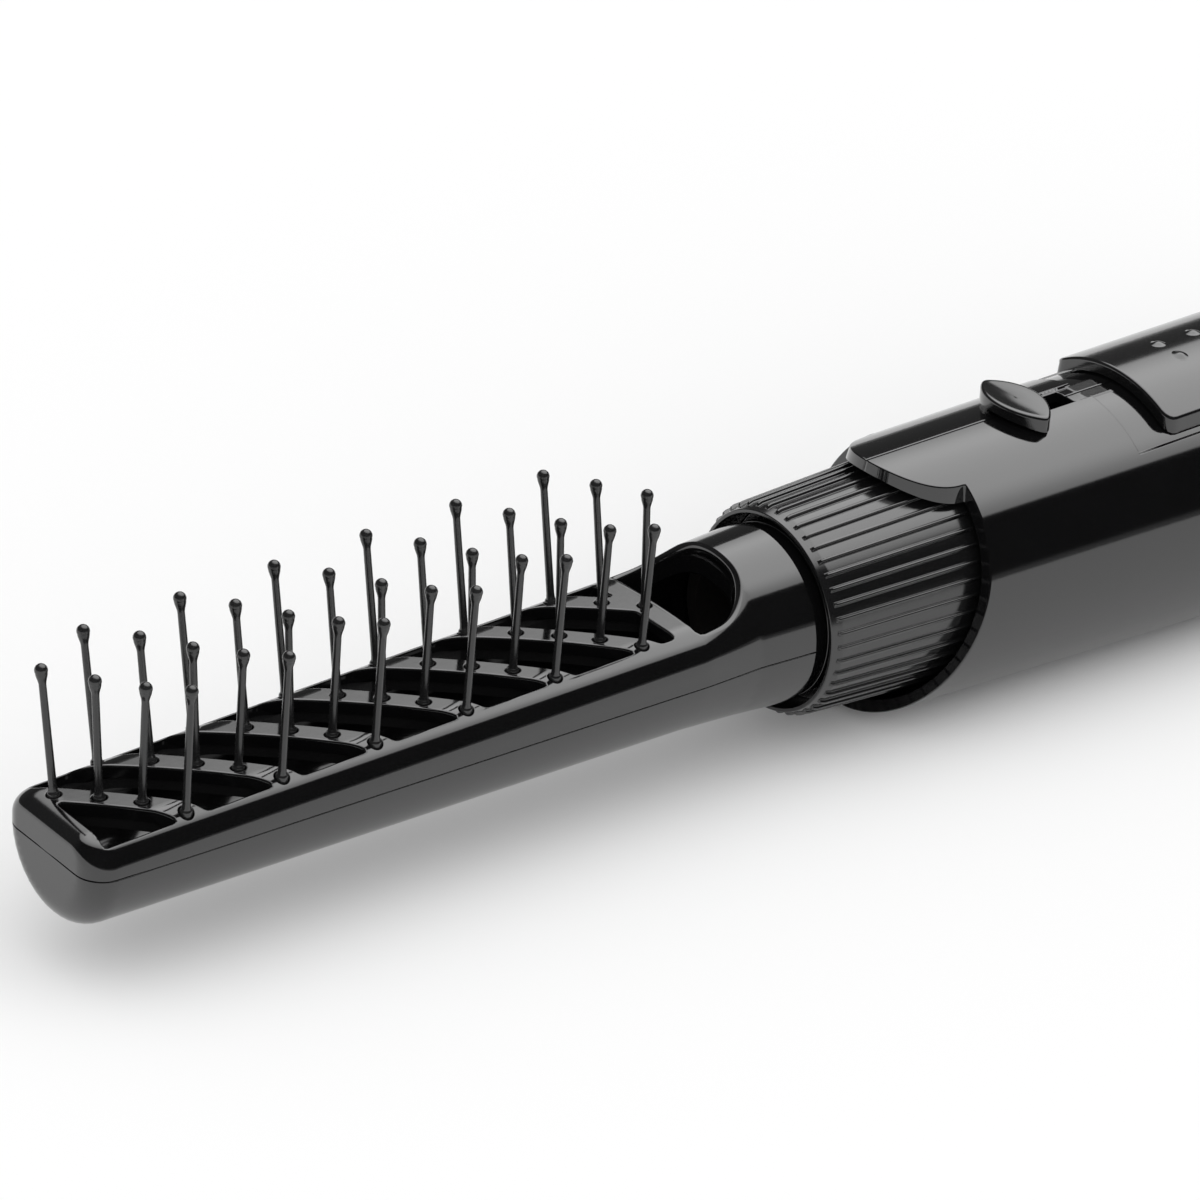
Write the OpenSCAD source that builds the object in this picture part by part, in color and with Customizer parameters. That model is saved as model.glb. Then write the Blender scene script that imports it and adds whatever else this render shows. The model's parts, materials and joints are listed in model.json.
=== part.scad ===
/* [Brush head] */
// Length of the brush head ahead of the grip collar
brush_len = 132; // [120:1:150]
// Half width of the brush body at its tip
tip_half_w = 12.15; // [11.5:0.05:13]
// Half width of the brush body at its neck
neck_half_w = 14; // [13.5:0.05:14.3]
// Depth of the brush underside below the handle axis
body_depth = 13.15; // [12.5:0.05:14]
// Height of the pin plate above the axis, at the tip
plate_tip_h = 4.15; // [3.5:0.05:5]
// Height of the pin plate above the axis, at the neck
plate_neck_h = 7.75; // [7:0.05:8.5]
// Radius of the shoulder between the pin plate and the sides
shoulder_r = 5.8; // [5.2:0.1:6.4]
// Radius of the rounded tip
tip_round = 4.5; // [3.5:0.1:5]
// Wall thickness of the brush shells
shell_wall = 2; // [1.6:0.1:2.4]
// Step from the collar's flats down to the round neck
neck_step = 2.35; // [2:0.05:2.7]
// Length of the round neck between the pin plate and the collar
neck_len = 24; // [22:0.5:28]
// Height of the parting line at the collar, above the axis
parting_h = -0.3; // [-1:0.1:0.5]
// Slope of the parting line, in degrees
parting_slope = 0.55; // [0:0.05:1]

/* [Ribs and pins] */
// Number of diagonal ribs
rib_count = 7; // [5:1:7]
// Spacing of the ribs along the head
rib_pitch = 16.2; // [15:0.1:17]
// Distance of the last rib from the collar, on the centre line
last_rib_setback = 26; // [25:0.1:27]
// Width of a rib
rib_w = 3.9; // [3.4:0.1:4.6]
// Radius of the ribs' curve
rib_r = 110; // [90:1:200]
// Half width of the slots between the ribs
slot_half_w = 10.15; // [9.6:0.05:10.4]
// Width of the straight bar behind the last slot
bar_w = 4.4; // [3.6:0.1:5]
// Half width of the round air outlet
outlet_half_w = 10.6; // [9.5:0.1:10.9]
// Length of the round air outlet
outlet_len = 9.9; // [8:0.1:11]
// Pin columns: sideways place, lean in degrees, height above the plate
pin_columns = [[9.35, 6.4, 21.5], [4.46, 5.7, 20.2], [0, 0, 19.7], [-4.46, -5.7, 20.2], [-9.35, -6.4, 21.5]];
// Radius of a pin's shaft
pin_r = 0.6; // [0.5:0.05:0.8]
// Radius of a pin's foot
pin_foot_r = 0.95; // [0.85:0.05:1.05]
// Radius of a pin's ball tip
pin_ball_r = 0.98; // [0.85:0.01:1.2]
// Forward lean of the pins, in degrees
pin_lean = 2.4; // [0:0.1:4]
// Thickness of the rails that carry the pins
pin_rail_t = 1.7; // [1.4:0.1:2]

/* [Collar and spigot] */
// Step from the handle's front radius down to the collar's flats
collar_step = 3.91; // [3.7:0.01:4.2]
// Growth of the collar's radius for each millimetre of length
collar_taper = 0.052; // [0.03:0.001:0.055]
// Length of the collar behind its front edge
collar_len = 31; // [29:0.5:32]
// Length of the collar's plain front lip
lip_len = 2; // [1:0.1:3]
// Number of grip ridges
ridge_count = 45; // [30:1:60]
// Height of a grip ridge
ridge_h = 0.5; // [0.3:0.05:0.55]
// Width of a grip ridge
ridge_w = 0.6; // [0.4:0.05:0.9]
// Wall thickness of the collar's skirt
skirt_wall = 2.2; // [1.6:0.1:2.4]
// Step from the collar's flats down to the spigot
spigot_step = 5.15; // [4.95:0.05:5.5]
// Wall thickness of the spigot
spigot_wall = 2.2; // [1.8:0.1:2.6]
// Length of the spigot behind the lock pin
spigot_tail = 4.2; // [3.8:0.1:6]

/* [Handle] */
// Length of the handle housing behind the collar's front edge
housing_len = 188; // [184:1:196]
// Handle radius at the collar's front edge
handle_front_r = 20.66; // [20.6:0.02:20.9]
// Growth of the handle's radius for each millimetre, on its straight front part
handle_taper = 0.0258; // [0.024:0.0002:0.028]
// End of the straight taper behind the collar's front edge
taper_end = 100; // [98:1:104]
// Radius of the long arc that rounds the rear of the handle
handle_arc_r = 775; // [740:5:900]
// Wall thickness of the housing
housing_wall = 2.2; // [2.1:0.05:2.4]
// Depth of the flat on the underside, from the handle's widest radius
flat_depth = 1.098; // [0.9:0.001:1.3]
// Tip of the top tongue behind the collar's front edge
tongue_tip = 16.8; // [15:0.1:18]
// Half width of the top tongue
tongue_half_w = 10.8; // [10:0.1:11.4]
// Place of the side edge at the tongue's root
edge_top_x = 28; // [27:0.1:29]
// Place of the front edge on the underside
edge_low_x = 15; // [13:0.1:16]
// Radius of the side edge's sweep
edge_r = 92; // [70:1:140]

/* [Lock slider] */
// Centre of the lens button behind the collar's front edge
button_x = 47.6; // [47:0.1:48.2]
// Half length of the lens button, across the handle
button_half_l = 7.9; // [7:0.1:8.5]
// Half width of the lens button, along the handle
button_half_w = 4.3; // [4:0.1:4.8]
// Height of the lens button
button_h = 1.9; // [1.6:0.1:2.2]
// Travel of the lock slider
lock_travel = 8; // [7:0.1:8.5]
// Drop of the lock pin over the whole travel
lock_drop = 1.4; // [1.2:0.05:1.5]
// Radius of the lock pin
lock_pin_r = 1.7; // [1.4:0.05:1.8]
// Wire radius of the lock spring
lock_wire_r = 0.15; // [0.12:0.01:0.16]
// Turns of the lock spring
lock_turns = 2.5; // [2:0.5:2.5]

/* [Power switch] */
// Front edge of the switch cover behind the collar's front edge
cover_x = 68.5; // [68:0.1:70]
// Length of the switch cover
cover_len = 48.5; // [46:0.5:50]
// Half width of the switch cover
cover_half_w = 13.6; // [12.5:0.1:14]
// Thickness of the switch cover
cover_t = 2.1; // [1.6:0.1:2.4]
// Travel of the switch over its three positions
switch_travel = 6; // [5:0.1:6]
// Depth of the recess that the cover slides in
recess_depth = 0.5; // [0.4:0.05:0.7]
// Radius of a grip dot
dot_r = 1.4; // [1.2:0.05:1.6]
// Height of a grip dot
dot_h = 0.5; // [0.3:0.05:0.6]
// Length of the slide switch
switch_len = 14; // [13:0.1:15]
// Half width of the slide switch
switch_half_w = 5.5; // [5:0.1:6]
// Thickness of the circuit board
board_t = 1.2; // [1:0.1:1.6]

/* [Heater] */
// Front of the heater behind the collar's front edge
heater_x = 76.3; // [76:0.1:77]
// Length of the heater tube
heater_len = 31.7; // [30:0.1:32]
// Room between the housing's inner wall and the heater tube
heater_room = 3.1285; // [3:0.0005:3.4]
// Thickness of the mica sheets
mica_t = 0.8; // [0.6:0.05:1]
// Room between the heater tube's outside and the coil
coil_room = 2.7; // [2.3:0.05:3.3]
// Radius of the resistance wire
wire_r = 0.35; // [0.3:0.01:0.4]
// Turns of the heating coil
coil_turns = 8; // [6:1:8]
// Spacing of the coil's turns
coil_pitch = 3.2; // [2.8:0.05:3.2]

/* [Motor and fan] */
// Front of the motor behind the collar's front edge
motor_x = 130; // [129.5:0.1:131]
// Share of the room for the motor and fan that the motor can takes
motor_share = 0.706; // [0.68:0.001:0.72]
// Radius of the motor can
motor_r = 12; // [11.5:0.05:12.2]
// Radius of the motor shaft
shaft_r = 1.15; // [1:0.05:1.6]
// Number of fan blades
blade_count = 9; // [5:1:11]
// Room between the air guide's outside and the fan's tips
fan_room = 1.9; // [1.7:0.1:3]
// Gap between the motor's end cap and the fan
fan_gap = 3.5; // [2.5:0.1:4]
// Number of guide vanes around the motor
vane_count = 7; // [5:1:11]

/* [Rear cap and cord gland] */
// Length of the rear cap behind the housing
cap_len = 12; // [11:0.1:14]
// Wall thickness of the rear cap
cap_wall = 2.7; // [2.2:0.1:3]
// Number of air slots in the rear cap
inlet_slots = 16; // [10:1:18]
// Width of an air slot
inlet_slot_w = 1.8; // [1.4:0.1:2]
// Bore radius of the cord gland
gland_bore_r = 3.4; // [2.5:0.05:3.8]
// Radius of the gland's neck
gland_neck_r = 6.12; // [5.8:0.02:6.4]
// Radius of the gland's shoulder
gland_shoulder_r = 8.4; // [8:0.1:8.8]

/* [Fits] */
// Clearance of parts that slide on one another
slide_gap = 0.3; // [0.25:0.01:0.35]
// Clearance of parts that seat in one another
seat_gap = 0.1; // [0.05:0.01:0.15]
// Running clearance of shafts and pins
run_gap = 0.08; // [0.03:0.01:0.1]
// Gap at the parting lines
parting_gap = 0.1; // [0.05:0.01:0.2]

/* [Hidden] */
$fn = 72;
hull_fn = 28;
tip_steps = 4;
arc_steps = 8;
slice_t = 0.02;
over = 0.2;
big = 400;

arc_mid_x = taper_end + handle_arc_r * handle_taper;
arc_mid_r = handle_front_r + handle_taper * taper_end
    + handle_arc_r * (1 - sqrt(1 - handle_taper * handle_taper));
rest_h = arc_mid_r - flat_depth;
collar_r = handle_front_r - collar_step;
neck_r = collar_r - neck_step;
spigot_r = collar_r - spigot_step;
spigot_bore_r = spigot_r - spigot_wall;

rear_x = housing_len + cap_len + 6.5;
shift_x = (brush_len - rear_x) / 2;

tip_x = -brush_len;
neck_x = -neck_len;
neck_mid_x = neck_x + outlet_len + 0.6;
neck_mid_r = neck_r - 0.7;
neck_end_x = -3.4;
bead_end_x = -1;
bead_r = neck_r - 0.4;
root_r = spigot_r + seat_gap + 1.3;
root_end_x = 12;
tip_lift = 0.6;

last_rib_x = -last_rib_setback;
bar_front_x = neck_x + 0.2 - bar_w;
slot_front_x = tip_x + 3.2;
pin_seat_gap = 0.15;
pin_hole_r = pin_foot_r + 0.15;

web_x = 4;
web_t = 5;
mouth_r = collar_r - 1.15;
skirt_bore_r = collar_r + collar_taper * collar_len - skirt_wall;
flange_r = skirt_bore_r - 0.7;
flange_t = 2;

heater_r = handle_r(heater_x) - housing_wall - heater_room;
coil_r = heater_r - coil_room;
funnel_len = 14;
funnel_lip = 0.9;
nozzle_x = root_end_x + flange_t + 1;
nozzle_bore_r = spigot_r + slide_gap;
nozzle_wall = 1.7;
nozzle_r = nozzle_bore_r + nozzle_wall;
funnel_end_x = heater_x - 0.3;
cup_len = 6;
cup_wall = 1.25;
cup_bore_r = heater_r + 0.15;
nozzle_flange_x = 33.2;
nozzle_flange_t = 2;
nozzle_flange_r = handle_r(nozzle_flange_x) - housing_wall - 0.7166;
rib_t = 1.3;

collar_room_r = collar_r + collar_taper * collar_len + ridge_h + 0.44;
collar_room_end = collar_len + 1.5;
edge_top_drop = 2.66;

lock_x = 47.8;
spigot_reach = lock_x + spigot_tail;
track_end_x = 60.5;
track_half_w = 2.6;
slider_post_l = 5.2;
slider_post_w = 3.6;
slider_post_x = button_x - 2.6;
foot_room = 1.021;
foot_t = 1.4;
foot_top_h = handle_r(slider_post_x) - housing_wall - foot_room;
foot_h = foot_top_h - foot_t;
foot_rear_x = 63;
foot_half_w = 4;
pin_head_r = 2.3;
ramp_end_x = lock_x - pin_head_r - 0.1;
foot_front_x = ramp_end_x - lock_travel - 0.1;
pin_head_t = 1;
pin_head_top = foot_h - 0.05;
pin_tip_h = nozzle_bore_r + 0.05;
spring_r = lock_pin_r + 0.32;
spring_low = nozzle_r + 0.2;
spring_high = pin_head_top - pin_head_t - 0.2;
button_under_r = handle_r(button_x + button_half_w + lock_travel) + 0.25;

rod_post_x = 92;
rod_post_l = 6;
rod_post_w = 5;
rod_half_w = 4;
rod_front_x = 90;
rod_room = 0.882;
rod_t = 1.5;
rod_high = handle_r(rod_front_x) - housing_wall - rod_room;
rod_low = rod_high - rod_t;
post_rise = 0.6664;
lever_x = 119.3;
lever_l = 4;
lever_w = 2.8;
lever_top = rod_low - 0.2;
lever_root = 2.6;
fork_l = 8;
fork_half_w = 3.4;
fork_low = rod_low - 2;
board_top = 7.2;
board_x = 109.6;
board_len = 16.2;
board_half_w = 15;
switch_x = 110.6;
switch_top = fork_low - 1.8;
dot_rows = 3;
dot_pitch = 7.7;
dot_side = 2.6;
dot_x = cover_x + 12.5;

cap_neck_len = 8.5;
rear_screw_room = 9;
end_cap_t = 3;
drive_room = housing_len - cap_neck_len - rear_screw_room - motor_x - end_cap_t - fan_gap;
motor_len = motor_share * drive_room;
fan_len = drive_room - motor_len;
can_wall = 0.8;
can_nose_r = 3.2;
can_nose_len = 1.6;
terminal_t = 0.6;
terminal_w = 2.4;
terminal_side = 8;
magnet_t = 1.95;
magnet_end = 3;
magnet_half_gap = 3.5;
armature_r = 8.6;
armature_end = 4;
core_r = 3.4;
tooth_w = 3;
shoe_low = 6.4;
shoe_w = 12;
press_gap = 0.02;
sleeve_r = motor_r + seat_gap;
sleeve_wall = 1.2;
duct_wall = 1.2;
guide_ahead = 2;
guide_x = motor_x - guide_ahead;
duct_room = 0.7566;
duct_r = handle_r(guide_x) - housing_wall - duct_room;
fan_r = duct_r - fan_room;
guide_len = motor_len - guide_ahead;
vane_t = 1.2;
fan_x = motor_x + motor_len + end_cap_t + fan_gap;
hub_r = 6;
hub_wall = 1.4;
blade_t = 1;
blade_chord = 18;
blade_angle = 38;

cap_face_x = housing_len + cap_len;
cap_seat_gap = 0.1;
cap_r = handle_r(housing_len) - 0.05;
cap_neck_r = handle_r(housing_len) - housing_wall - 0.15;
gland_hole_r = gland_neck_r + run_gap;

screw_r = 1.3;
screw_len = 14;
screw_head_r = 2.5;
screw_head_t = 1.5;
screw_boss_r = 2.2;
head_room_wall = 1.4;
thread_gap = 0.03;
rear_screw_x = housing_len - cap_neck_len - rear_screw_room / 2;
// Each screw: place along the handle, depth below the skin, place of its head sideways
screw_plan = [[43, 5.5694, 8.4], [116.5, 6.2901, 10], [rear_screw_x, 7.0435, 9.5]];
screws = [for (s = screw_plan) [s[0], s[1] - handle_r(s[0]), s[2]]];

// Value on the line from (x0, v0) to (x1, v1)
function line(x, x0, v0, x1, v1) = v0 + (v1 - v0) * (x - x0) / (x1 - x0);

// Half width of the brush body at x
function half_w(x) = line(x, tip_x, tip_half_w, neck_x, neck_half_w);

// Height of the pin plate at x
function plate_h(x) = line(x, tip_x, plate_tip_h, neck_x, plate_neck_h);

// Drop of the rounded shoulder below the pin plate, at a sideways place y
function shoulder_drop(x, y) = let (into = max(0, abs(y) - half_w(x) + shoulder_r))
    shoulder_r - sqrt(shoulder_r * shoulder_r - into * into);

// Offset of a rib along the head at a sideways place y
function rib_offset(y) = let (c = rib_r * cos(45)) sqrt(rib_r * rib_r - pow(y + c, 2)) - c;

// Outer radius of the handle at x
function handle_r(x) = x < taper_end
    ? handle_front_r + handle_taper * x
    : arc_mid_r - handle_arc_r + sqrt(handle_arc_r * handle_arc_r - pow(x - arc_mid_x, 2));

// Centre of the arc of radius r through two points, on the low x side
function arc_centre(p, q, r) = let (m = (p + q) / 2, d = norm(q - p), h = sqrt(r * r - d * d / 4))
    m + h * [-abs(q.y - p.y), abs(q.x - p.x)] / d;

// Moves the model from the collar's front edge to the middle of the flat it rests on
module placed() translate([shift_x, 0, rest_h]) children();

module cyl_x(x0, x1, r) translate([x0, 0, 0]) rotate([0, 90, 0]) cylinder(h = x1 - x0, r = r);

module tube_x(x0, x1, outer, inner) difference() {
    cyl_x(x0, x1, outer);
    cyl_x(x0 - over, x1 + over, inner);
}

// A turned part from its outline of [radius, place along the axis]
module turned(points) rotate([0, 90, 0]) rotate_extrude() polygon(points);

// One slice of the brush body, shrunk all round and with its top lifted
module body_slice(x, shrink, lift) {
    w = half_w(x);
    translate([x, 0, 0]) rotate([90, 0, 90]) linear_extrude(slice_t) {
        translate([0, w - body_depth]) polygon([for (k = [0 : hull_fn])
            let (a = 180 + 180 * k / hull_fn) (w - shrink) * [cos(a), sin(a)]]);
        for (side = [-1, 1])
            translate([side * (w - shoulder_r), plate_h(x) - shoulder_r + lift])
                circle(r = shoulder_r - shrink, $fn = hull_fn);
    }
}

module neck_slice(x, r) translate([x, 0, 0]) rotate([90, 0, 90]) linear_extrude(slice_t)
    circle(r = r, $fn = 2 * hull_fn);

// The closed form of the brush body, shrunk by a wall thickness
module brush_form(shrink) {
    round_r = tip_round - shrink;
    hull() {
        for (k = [0 : tip_steps]) let (a = 90 * k / tip_steps, inset = round_r * (1 - sin(a)))
            body_slice(tip_x + tip_round - round_r * cos(a), shrink + inset, tip_lift * inset);
        body_slice(neck_x, shrink, 0);
    }
    hull() {
        body_slice(neck_x - 5 * slice_t, shrink + slice_t, 0);
        neck_slice(neck_mid_x, neck_mid_r - shrink);
        neck_slice(neck_end_x, neck_r - shrink);
    }
}

// Both brush shells in one, with the tube that fits in the collar
module brush_shell() difference() {
    union() {
        brush_form(0);
        cyl_x(neck_end_x - over, bead_end_x, bead_r);
        cyl_x(bead_end_x - over, root_end_x, root_r);
    }
    brush_form(shell_wall);
    cyl_x(neck_end_x - 4, root_end_x + over, spigot_r + seat_gap);
}

// Everything above the parting line, or below it
module parting_side(up) translate([0, 0, parting_h + up * parting_gap / 2])
    rotate([0, -parting_slope, 0]) translate([-big / 2, -big / 2, up > 0 ? 0 : -big]) cube(big);

// One curved rib in plan, with its point on the centre line at the origin
module rib_band(w) translate([-rib_r * cos(45), -rib_r * cos(45)]) difference() {
    circle(r = rib_r + w / 2, $fn = 360);
    circle(r = rib_r - w / 2, $fn = 360);
}

module all_rib_bands(w) for (k = [0 : rib_count - 1])
    translate([last_rib_x - k * rib_pitch, 0]) rib_band(w);

// Rectangle from x0 to x1 with round corners, in plan
module round_rect(x0, x1, half, r) {
    for (x = [x0 + r, x1 - r], side = [-1, 1]) translate([x, side * (half - r)]) circle(r = r);
    translate([x0 + r, -half]) square([x1 - x0 - 2 * r, 2 * half]);
    translate([x0, -half + r]) square([x1 - x0, 2 * half - 2 * r]);
}

module slots_plan() difference() {
    round_rect(slot_front_x, bar_front_x, slot_half_w, 1.5);
    all_rib_bands(rib_w);
}

// The round outlet behind the bar, square at its front
module outlet_plan() {
    round_rect(neck_x + 0.2, neck_x + 0.2 + outlet_len, outlet_half_w, outlet_half_w * 0.6);
    translate([neck_x + 0.2, -outlet_half_w]) square([outlet_len / 2, 2 * outlet_half_w]);
}

// Places its children at every pin that fits between the tip and the bar's rear edge
module at_pins() for (k = [0 : rib_count - 1], column = pin_columns)
    let (y = column[0], x = last_rib_x - k * rib_pitch + rib_offset(y))
        if (x > slot_front_x && x < neck_x - 0.5)
            translate([x, y, plate_h(x) - shoulder_drop(x, y)]) {
                $lean = column[1];
                $height = column[2];
                children();
            }

module brush_top_shell() color("#1b1b1d") placed() difference() {
    intersection() {
        brush_shell();
        parting_side(1);
    }
    translate([0, 0, 1]) linear_extrude(big) slots_plan();
    translate([0, 0, 3]) linear_extrude(big) outlet_plan();
    at_pins() translate([0, 0, -shell_wall - 1.5]) cylinder(h = shell_wall + 3, r = pin_hole_r, $fn = 24);
}

module brush_base_shell() color("#161618") placed() intersection() {
    brush_shell();
    parting_side(-1);
}

module one_pin() rotate([-$lean, -pin_lean, 0]) {
    foot = shell_wall + pin_rail_t * 0.8;
    translate([0, 0, -foot]) cylinder(h = foot + 1.2, r1 = pin_foot_r, r2 = pin_r, $fn = 24);
    translate([0, 0, 1]) cylinder(h = $height - pin_ball_r - 1, r = pin_r, $fn = 24);
    translate([0, 0, $height - 3.2 * pin_ball_r])
        cylinder(h = 2.1 * pin_ball_r, r1 = pin_r, r2 = pin_ball_r * 0.94, $fn = 24);
    translate([0, 0, $height - pin_ball_r]) sphere(r = pin_ball_r, $fn = 24);
}

// The slab under the pin plate that the rails lie in
module rail_slab() {
    slope = atan((plate_neck_h - plate_tip_h) / (neck_x - tip_x));
    depth = shell_wall + pin_seat_gap + 0.5 + pin_rail_t;
    translate([tip_x, 0, plate_tip_h - depth]) rotate([0, -slope, 0])
        translate([-5, -20, 0]) cube([neck_x - tip_x + 4.6, 40, depth]);
}

module brush_pins() color("#101012") placed() {
    intersection() {
        brush_form(shell_wall + pin_seat_gap);
        rail_slab();
        linear_extrude(big, center = true) {
            all_rib_bands(rib_w - 1.1);
            for (side = [-1, 1]) translate([slot_front_x + 2, side * 9.3 - 0.8]) square([big, 1.6]);
        }
    }
    at_pins() one_pin();
}

module grip_collar() color("#202022") placed() {
    outer_end = collar_r + collar_taper * collar_len;
    turned([[mouth_r, -lip_len], [mouth_r + 0.6, -lip_len], [collar_r, 0], [outer_end, collar_len],
        [skirt_bore_r, collar_len], [skirt_bore_r, web_x + web_t], [root_r + 1.2, web_x + web_t],
        [root_r + 1.2, root_end_x], [root_r + 0.05, root_end_x], [root_r + 0.05, bead_end_x + seat_gap],
        [root_r + 1.1, bead_end_x + seat_gap], [root_r + 1.1, web_x], [mouth_r, web_x]]);
    for (k = [0 : ridge_count - 1]) rotate([k * 360 / ridge_count, 0, 0])
        rotate([90, 0, 0]) linear_extrude(ridge_w, center = true)
            polygon([[0.4, collar_r - 0.4], [0.8, collar_r + ridge_h],
                [collar_len - ridge_w, outer_end + ridge_h], [collar_len - ridge_w, outer_end - 0.4]]);
}

module head_spigot() color("#2a2a2c") placed() turned([[spigot_bore_r, neck_end_x - 4.5],
    [spigot_r, neck_end_x - 4.5], [spigot_r, root_end_x + seat_gap], [flange_r, root_end_x + seat_gap],
    [flange_r, root_end_x + seat_gap + flange_t], [spigot_r, root_end_x + seat_gap + flange_t],
    [spigot_r, lock_x - lock_pin_r - 0.4], [spigot_r - 1.3, lock_x - lock_pin_r - 0.4],
    [spigot_r - 1.3, lock_x + lock_pin_r + 0.4], [spigot_r, lock_x + lock_pin_r + 0.4],
    [spigot_r, spigot_reach - 1], [spigot_r - 0.8, spigot_reach], [spigot_bore_r, spigot_reach]]);

// The handle's outline as a solid of revolution, grown by an amount
module handle_form(grow) rotate([0, 90, 0]) rotate_extrude() polygon([[0, 0],
    [handle_front_r + grow, 0],
    for (k = [0 : arc_steps]) let (x = taper_end + k * (housing_len - taper_end) / arc_steps)
        [handle_r(x) + grow, x],
    [0, housing_len]]);

// Where the housing is left at its front: behind the side edge, and the top tongue
module front_keep() {
    top = [edge_top_x, handle_front_r - edge_top_drop];
    low = [edge_low_x, -handle_front_r];
    c = arc_centre(top, low, edge_r);
    difference() {
        translate([0, -big / 2, -big / 2]) cube([housing_len + over, big, big]);
        translate([c.x, 0, c.y]) rotate([90, 0, 0]) cylinder(h = big, r = edge_r, center = true, $fn = 360);
    }
    linear_extrude(big) {
        translate([tongue_tip + tongue_half_w, 0]) circle(r = tongue_half_w);
        translate([tongue_tip + tongue_half_w, -tongue_half_w]) square([20, 2 * tongue_half_w]);
    }
}

// A ring inside the housing that carries something
module carrier_ring(x0, inner) intersection() {
    handle_form(-housing_wall / 2);
    tube_x(x0, x0 + rib_t, 2 * handle_front_r, inner);
}

// Removes the skin of the handle over a box in plan, to a depth
module skin_cut(x0, x1, half, depth) difference() {
    translate([x0, -half, 0]) cube([x1 - x0, 2 * half, big]);
    handle_form(-depth);
}

module housing_body() {
    difference() {
        intersection() {
            handle_form(0);
            front_keep();
            translate([0, -big / 2, -rest_h]) cube([housing_len, big, big]);
        }
        difference() {
            handle_form(-housing_wall);
            cyl_x(-over, edge_low_x - 5, 2 * handle_front_r);
        }
        cyl_x(-over, collar_room_end, collar_room_r);
        skin_cut(cover_x - switch_travel - 0.7, cover_x + cover_len + 0.5, cover_half_w + 1, recess_depth);
        skin_cut(button_x - button_half_w + 1, track_end_x, track_half_w, recess_depth);
        translate([slider_post_x - slide_gap, -slider_post_w / 2 - slide_gap, 0])
            cube([slider_post_l + lock_travel + 2 * slide_gap, slider_post_w + 2 * slide_gap, big]);
        translate([rod_post_x - switch_travel - slide_gap, -rod_post_w / 2 - slide_gap, 0])
            cube([rod_post_l + switch_travel + 2 * slide_gap, rod_post_w + 2 * slide_gap, big]);
    }
    carrier_ring(nozzle_flange_x - 0.2 - rib_t, nozzle_r + 0.4);
    carrier_ring(nozzle_flange_x + nozzle_flange_t + 0.2, nozzle_r + 0.4);
    carrier_ring(funnel_end_x + 2, cup_bore_r + cup_wall + 0.2);
    difference() {
        carrier_ring(heater_x + heater_len - 4, heater_r + 0.2);
        translate([0, -rod_half_w - 0.6, rod_low - 0.5]) cube([housing_len, 2 * rod_half_w + 1.2, 4]);
    }
    carrier_ring(guide_x - 0.2 - rib_t, duct_r - duct_wall);
    carrier_ring(guide_x + guide_len + 0.2, duct_r - duct_wall);
    intersection() {
        handle_form(-housing_wall / 2);
        for (side = [-1, 1], z = [board_top - board_t - 0.2 - rib_t, board_top + 0.2])
            translate([board_x, side > 0 ? board_half_w - 1 : -board_half_w - 9, z])
                cube([board_len - 1.2, 10, rib_t]);
    }
}

module screw_bosses() intersection() {
    handle_form(-housing_wall / 2);
    for (s = screws) translate([s[0], 0, s[1]]) rotate([-90, 0, 0]) {
        cylinder(h = big, r = screw_boss_r, center = true, $fn = 32);
        translate([0, 0, s[2] - screw_head_t]) cylinder(h = big, r = screw_head_r + head_room_wall, $fn = 32);
    }
}

// Holes for the screws: a clear hole with a sunk head on the right, a snug one on the left
module screw_holes() for (s = screws) translate([s[0], 0, s[1]]) rotate([-90, 0, 0]) {
    translate([0, 0, s[2]]) cylinder(h = big, r = screw_head_r + over, $fn = 32);
    translate([0, 0, s[2] - screw_len - 1]) cylinder(h = screw_len + 1.5, r = screw_r + thread_gap, $fn = 32);
}

module housing_half(side) intersection() {
    difference() {
        union() {
            housing_body();
            screw_bosses();
        }
        screw_holes();
    }
    translate([-1, side > 0 ? parting_gap / 2 : -big - parting_gap / 2, -big / 2])
        cube([housing_len + 2, big, big]);
}

module housing_left() color("#18181a") placed() housing_half(-1);

module housing_right() color("#18181a") placed() housing_half(1);

module housing_screws() color("#8a8c90") placed() for (s = screws)
    translate([s[0], s[2], s[1]]) rotate([-90, 0, 0]) {
        translate([0, 0, -screw_len]) cylinder(h = screw_len + 0.2, r = screw_r, $fn = 32);
        translate([0, 0, 0.05]) difference() {
            cylinder(h = screw_head_t, r = screw_head_r, $fn = 32);
            for (a = [0, 90]) rotate([0, 0, a])
                translate([-1.6, -0.3, screw_head_t - 0.8]) cube([3.2, 0.6, 1]);
        }
    }

module air_nozzle() color("#3a3632") placed() difference() {
    turned([[nozzle_bore_r, nozzle_x], [nozzle_r, nozzle_x], [nozzle_r, nozzle_flange_x],
        [nozzle_flange_r, nozzle_flange_x], [nozzle_flange_r, nozzle_flange_x + nozzle_flange_t],
        [nozzle_r, nozzle_flange_x + nozzle_flange_t], [nozzle_r, funnel_end_x - funnel_len],
        [cup_bore_r + cup_wall, funnel_end_x + 1], [cup_bore_r + cup_wall, funnel_end_x + cup_len],
        [cup_bore_r, funnel_end_x + cup_len], [cup_bore_r, funnel_end_x],
        [cup_bore_r - funnel_lip, funnel_end_x],
        [nozzle_bore_r - funnel_lip, funnel_end_x - funnel_len - 1],
        [nozzle_bore_r - funnel_lip, spigot_reach + 0.4],
        [nozzle_bore_r, spigot_reach + 0.4]]);
    translate([lock_x, 0, 0]) cylinder(h = 30, r = lock_pin_r + run_gap, $fn = 32);
}

module heater_tube() color("#b9ad92") placed()
    tube_x(heater_x, heater_x + heater_len, heater_r, heater_r - 0.4);

coil_x = heater_x + 3.7;

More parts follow.
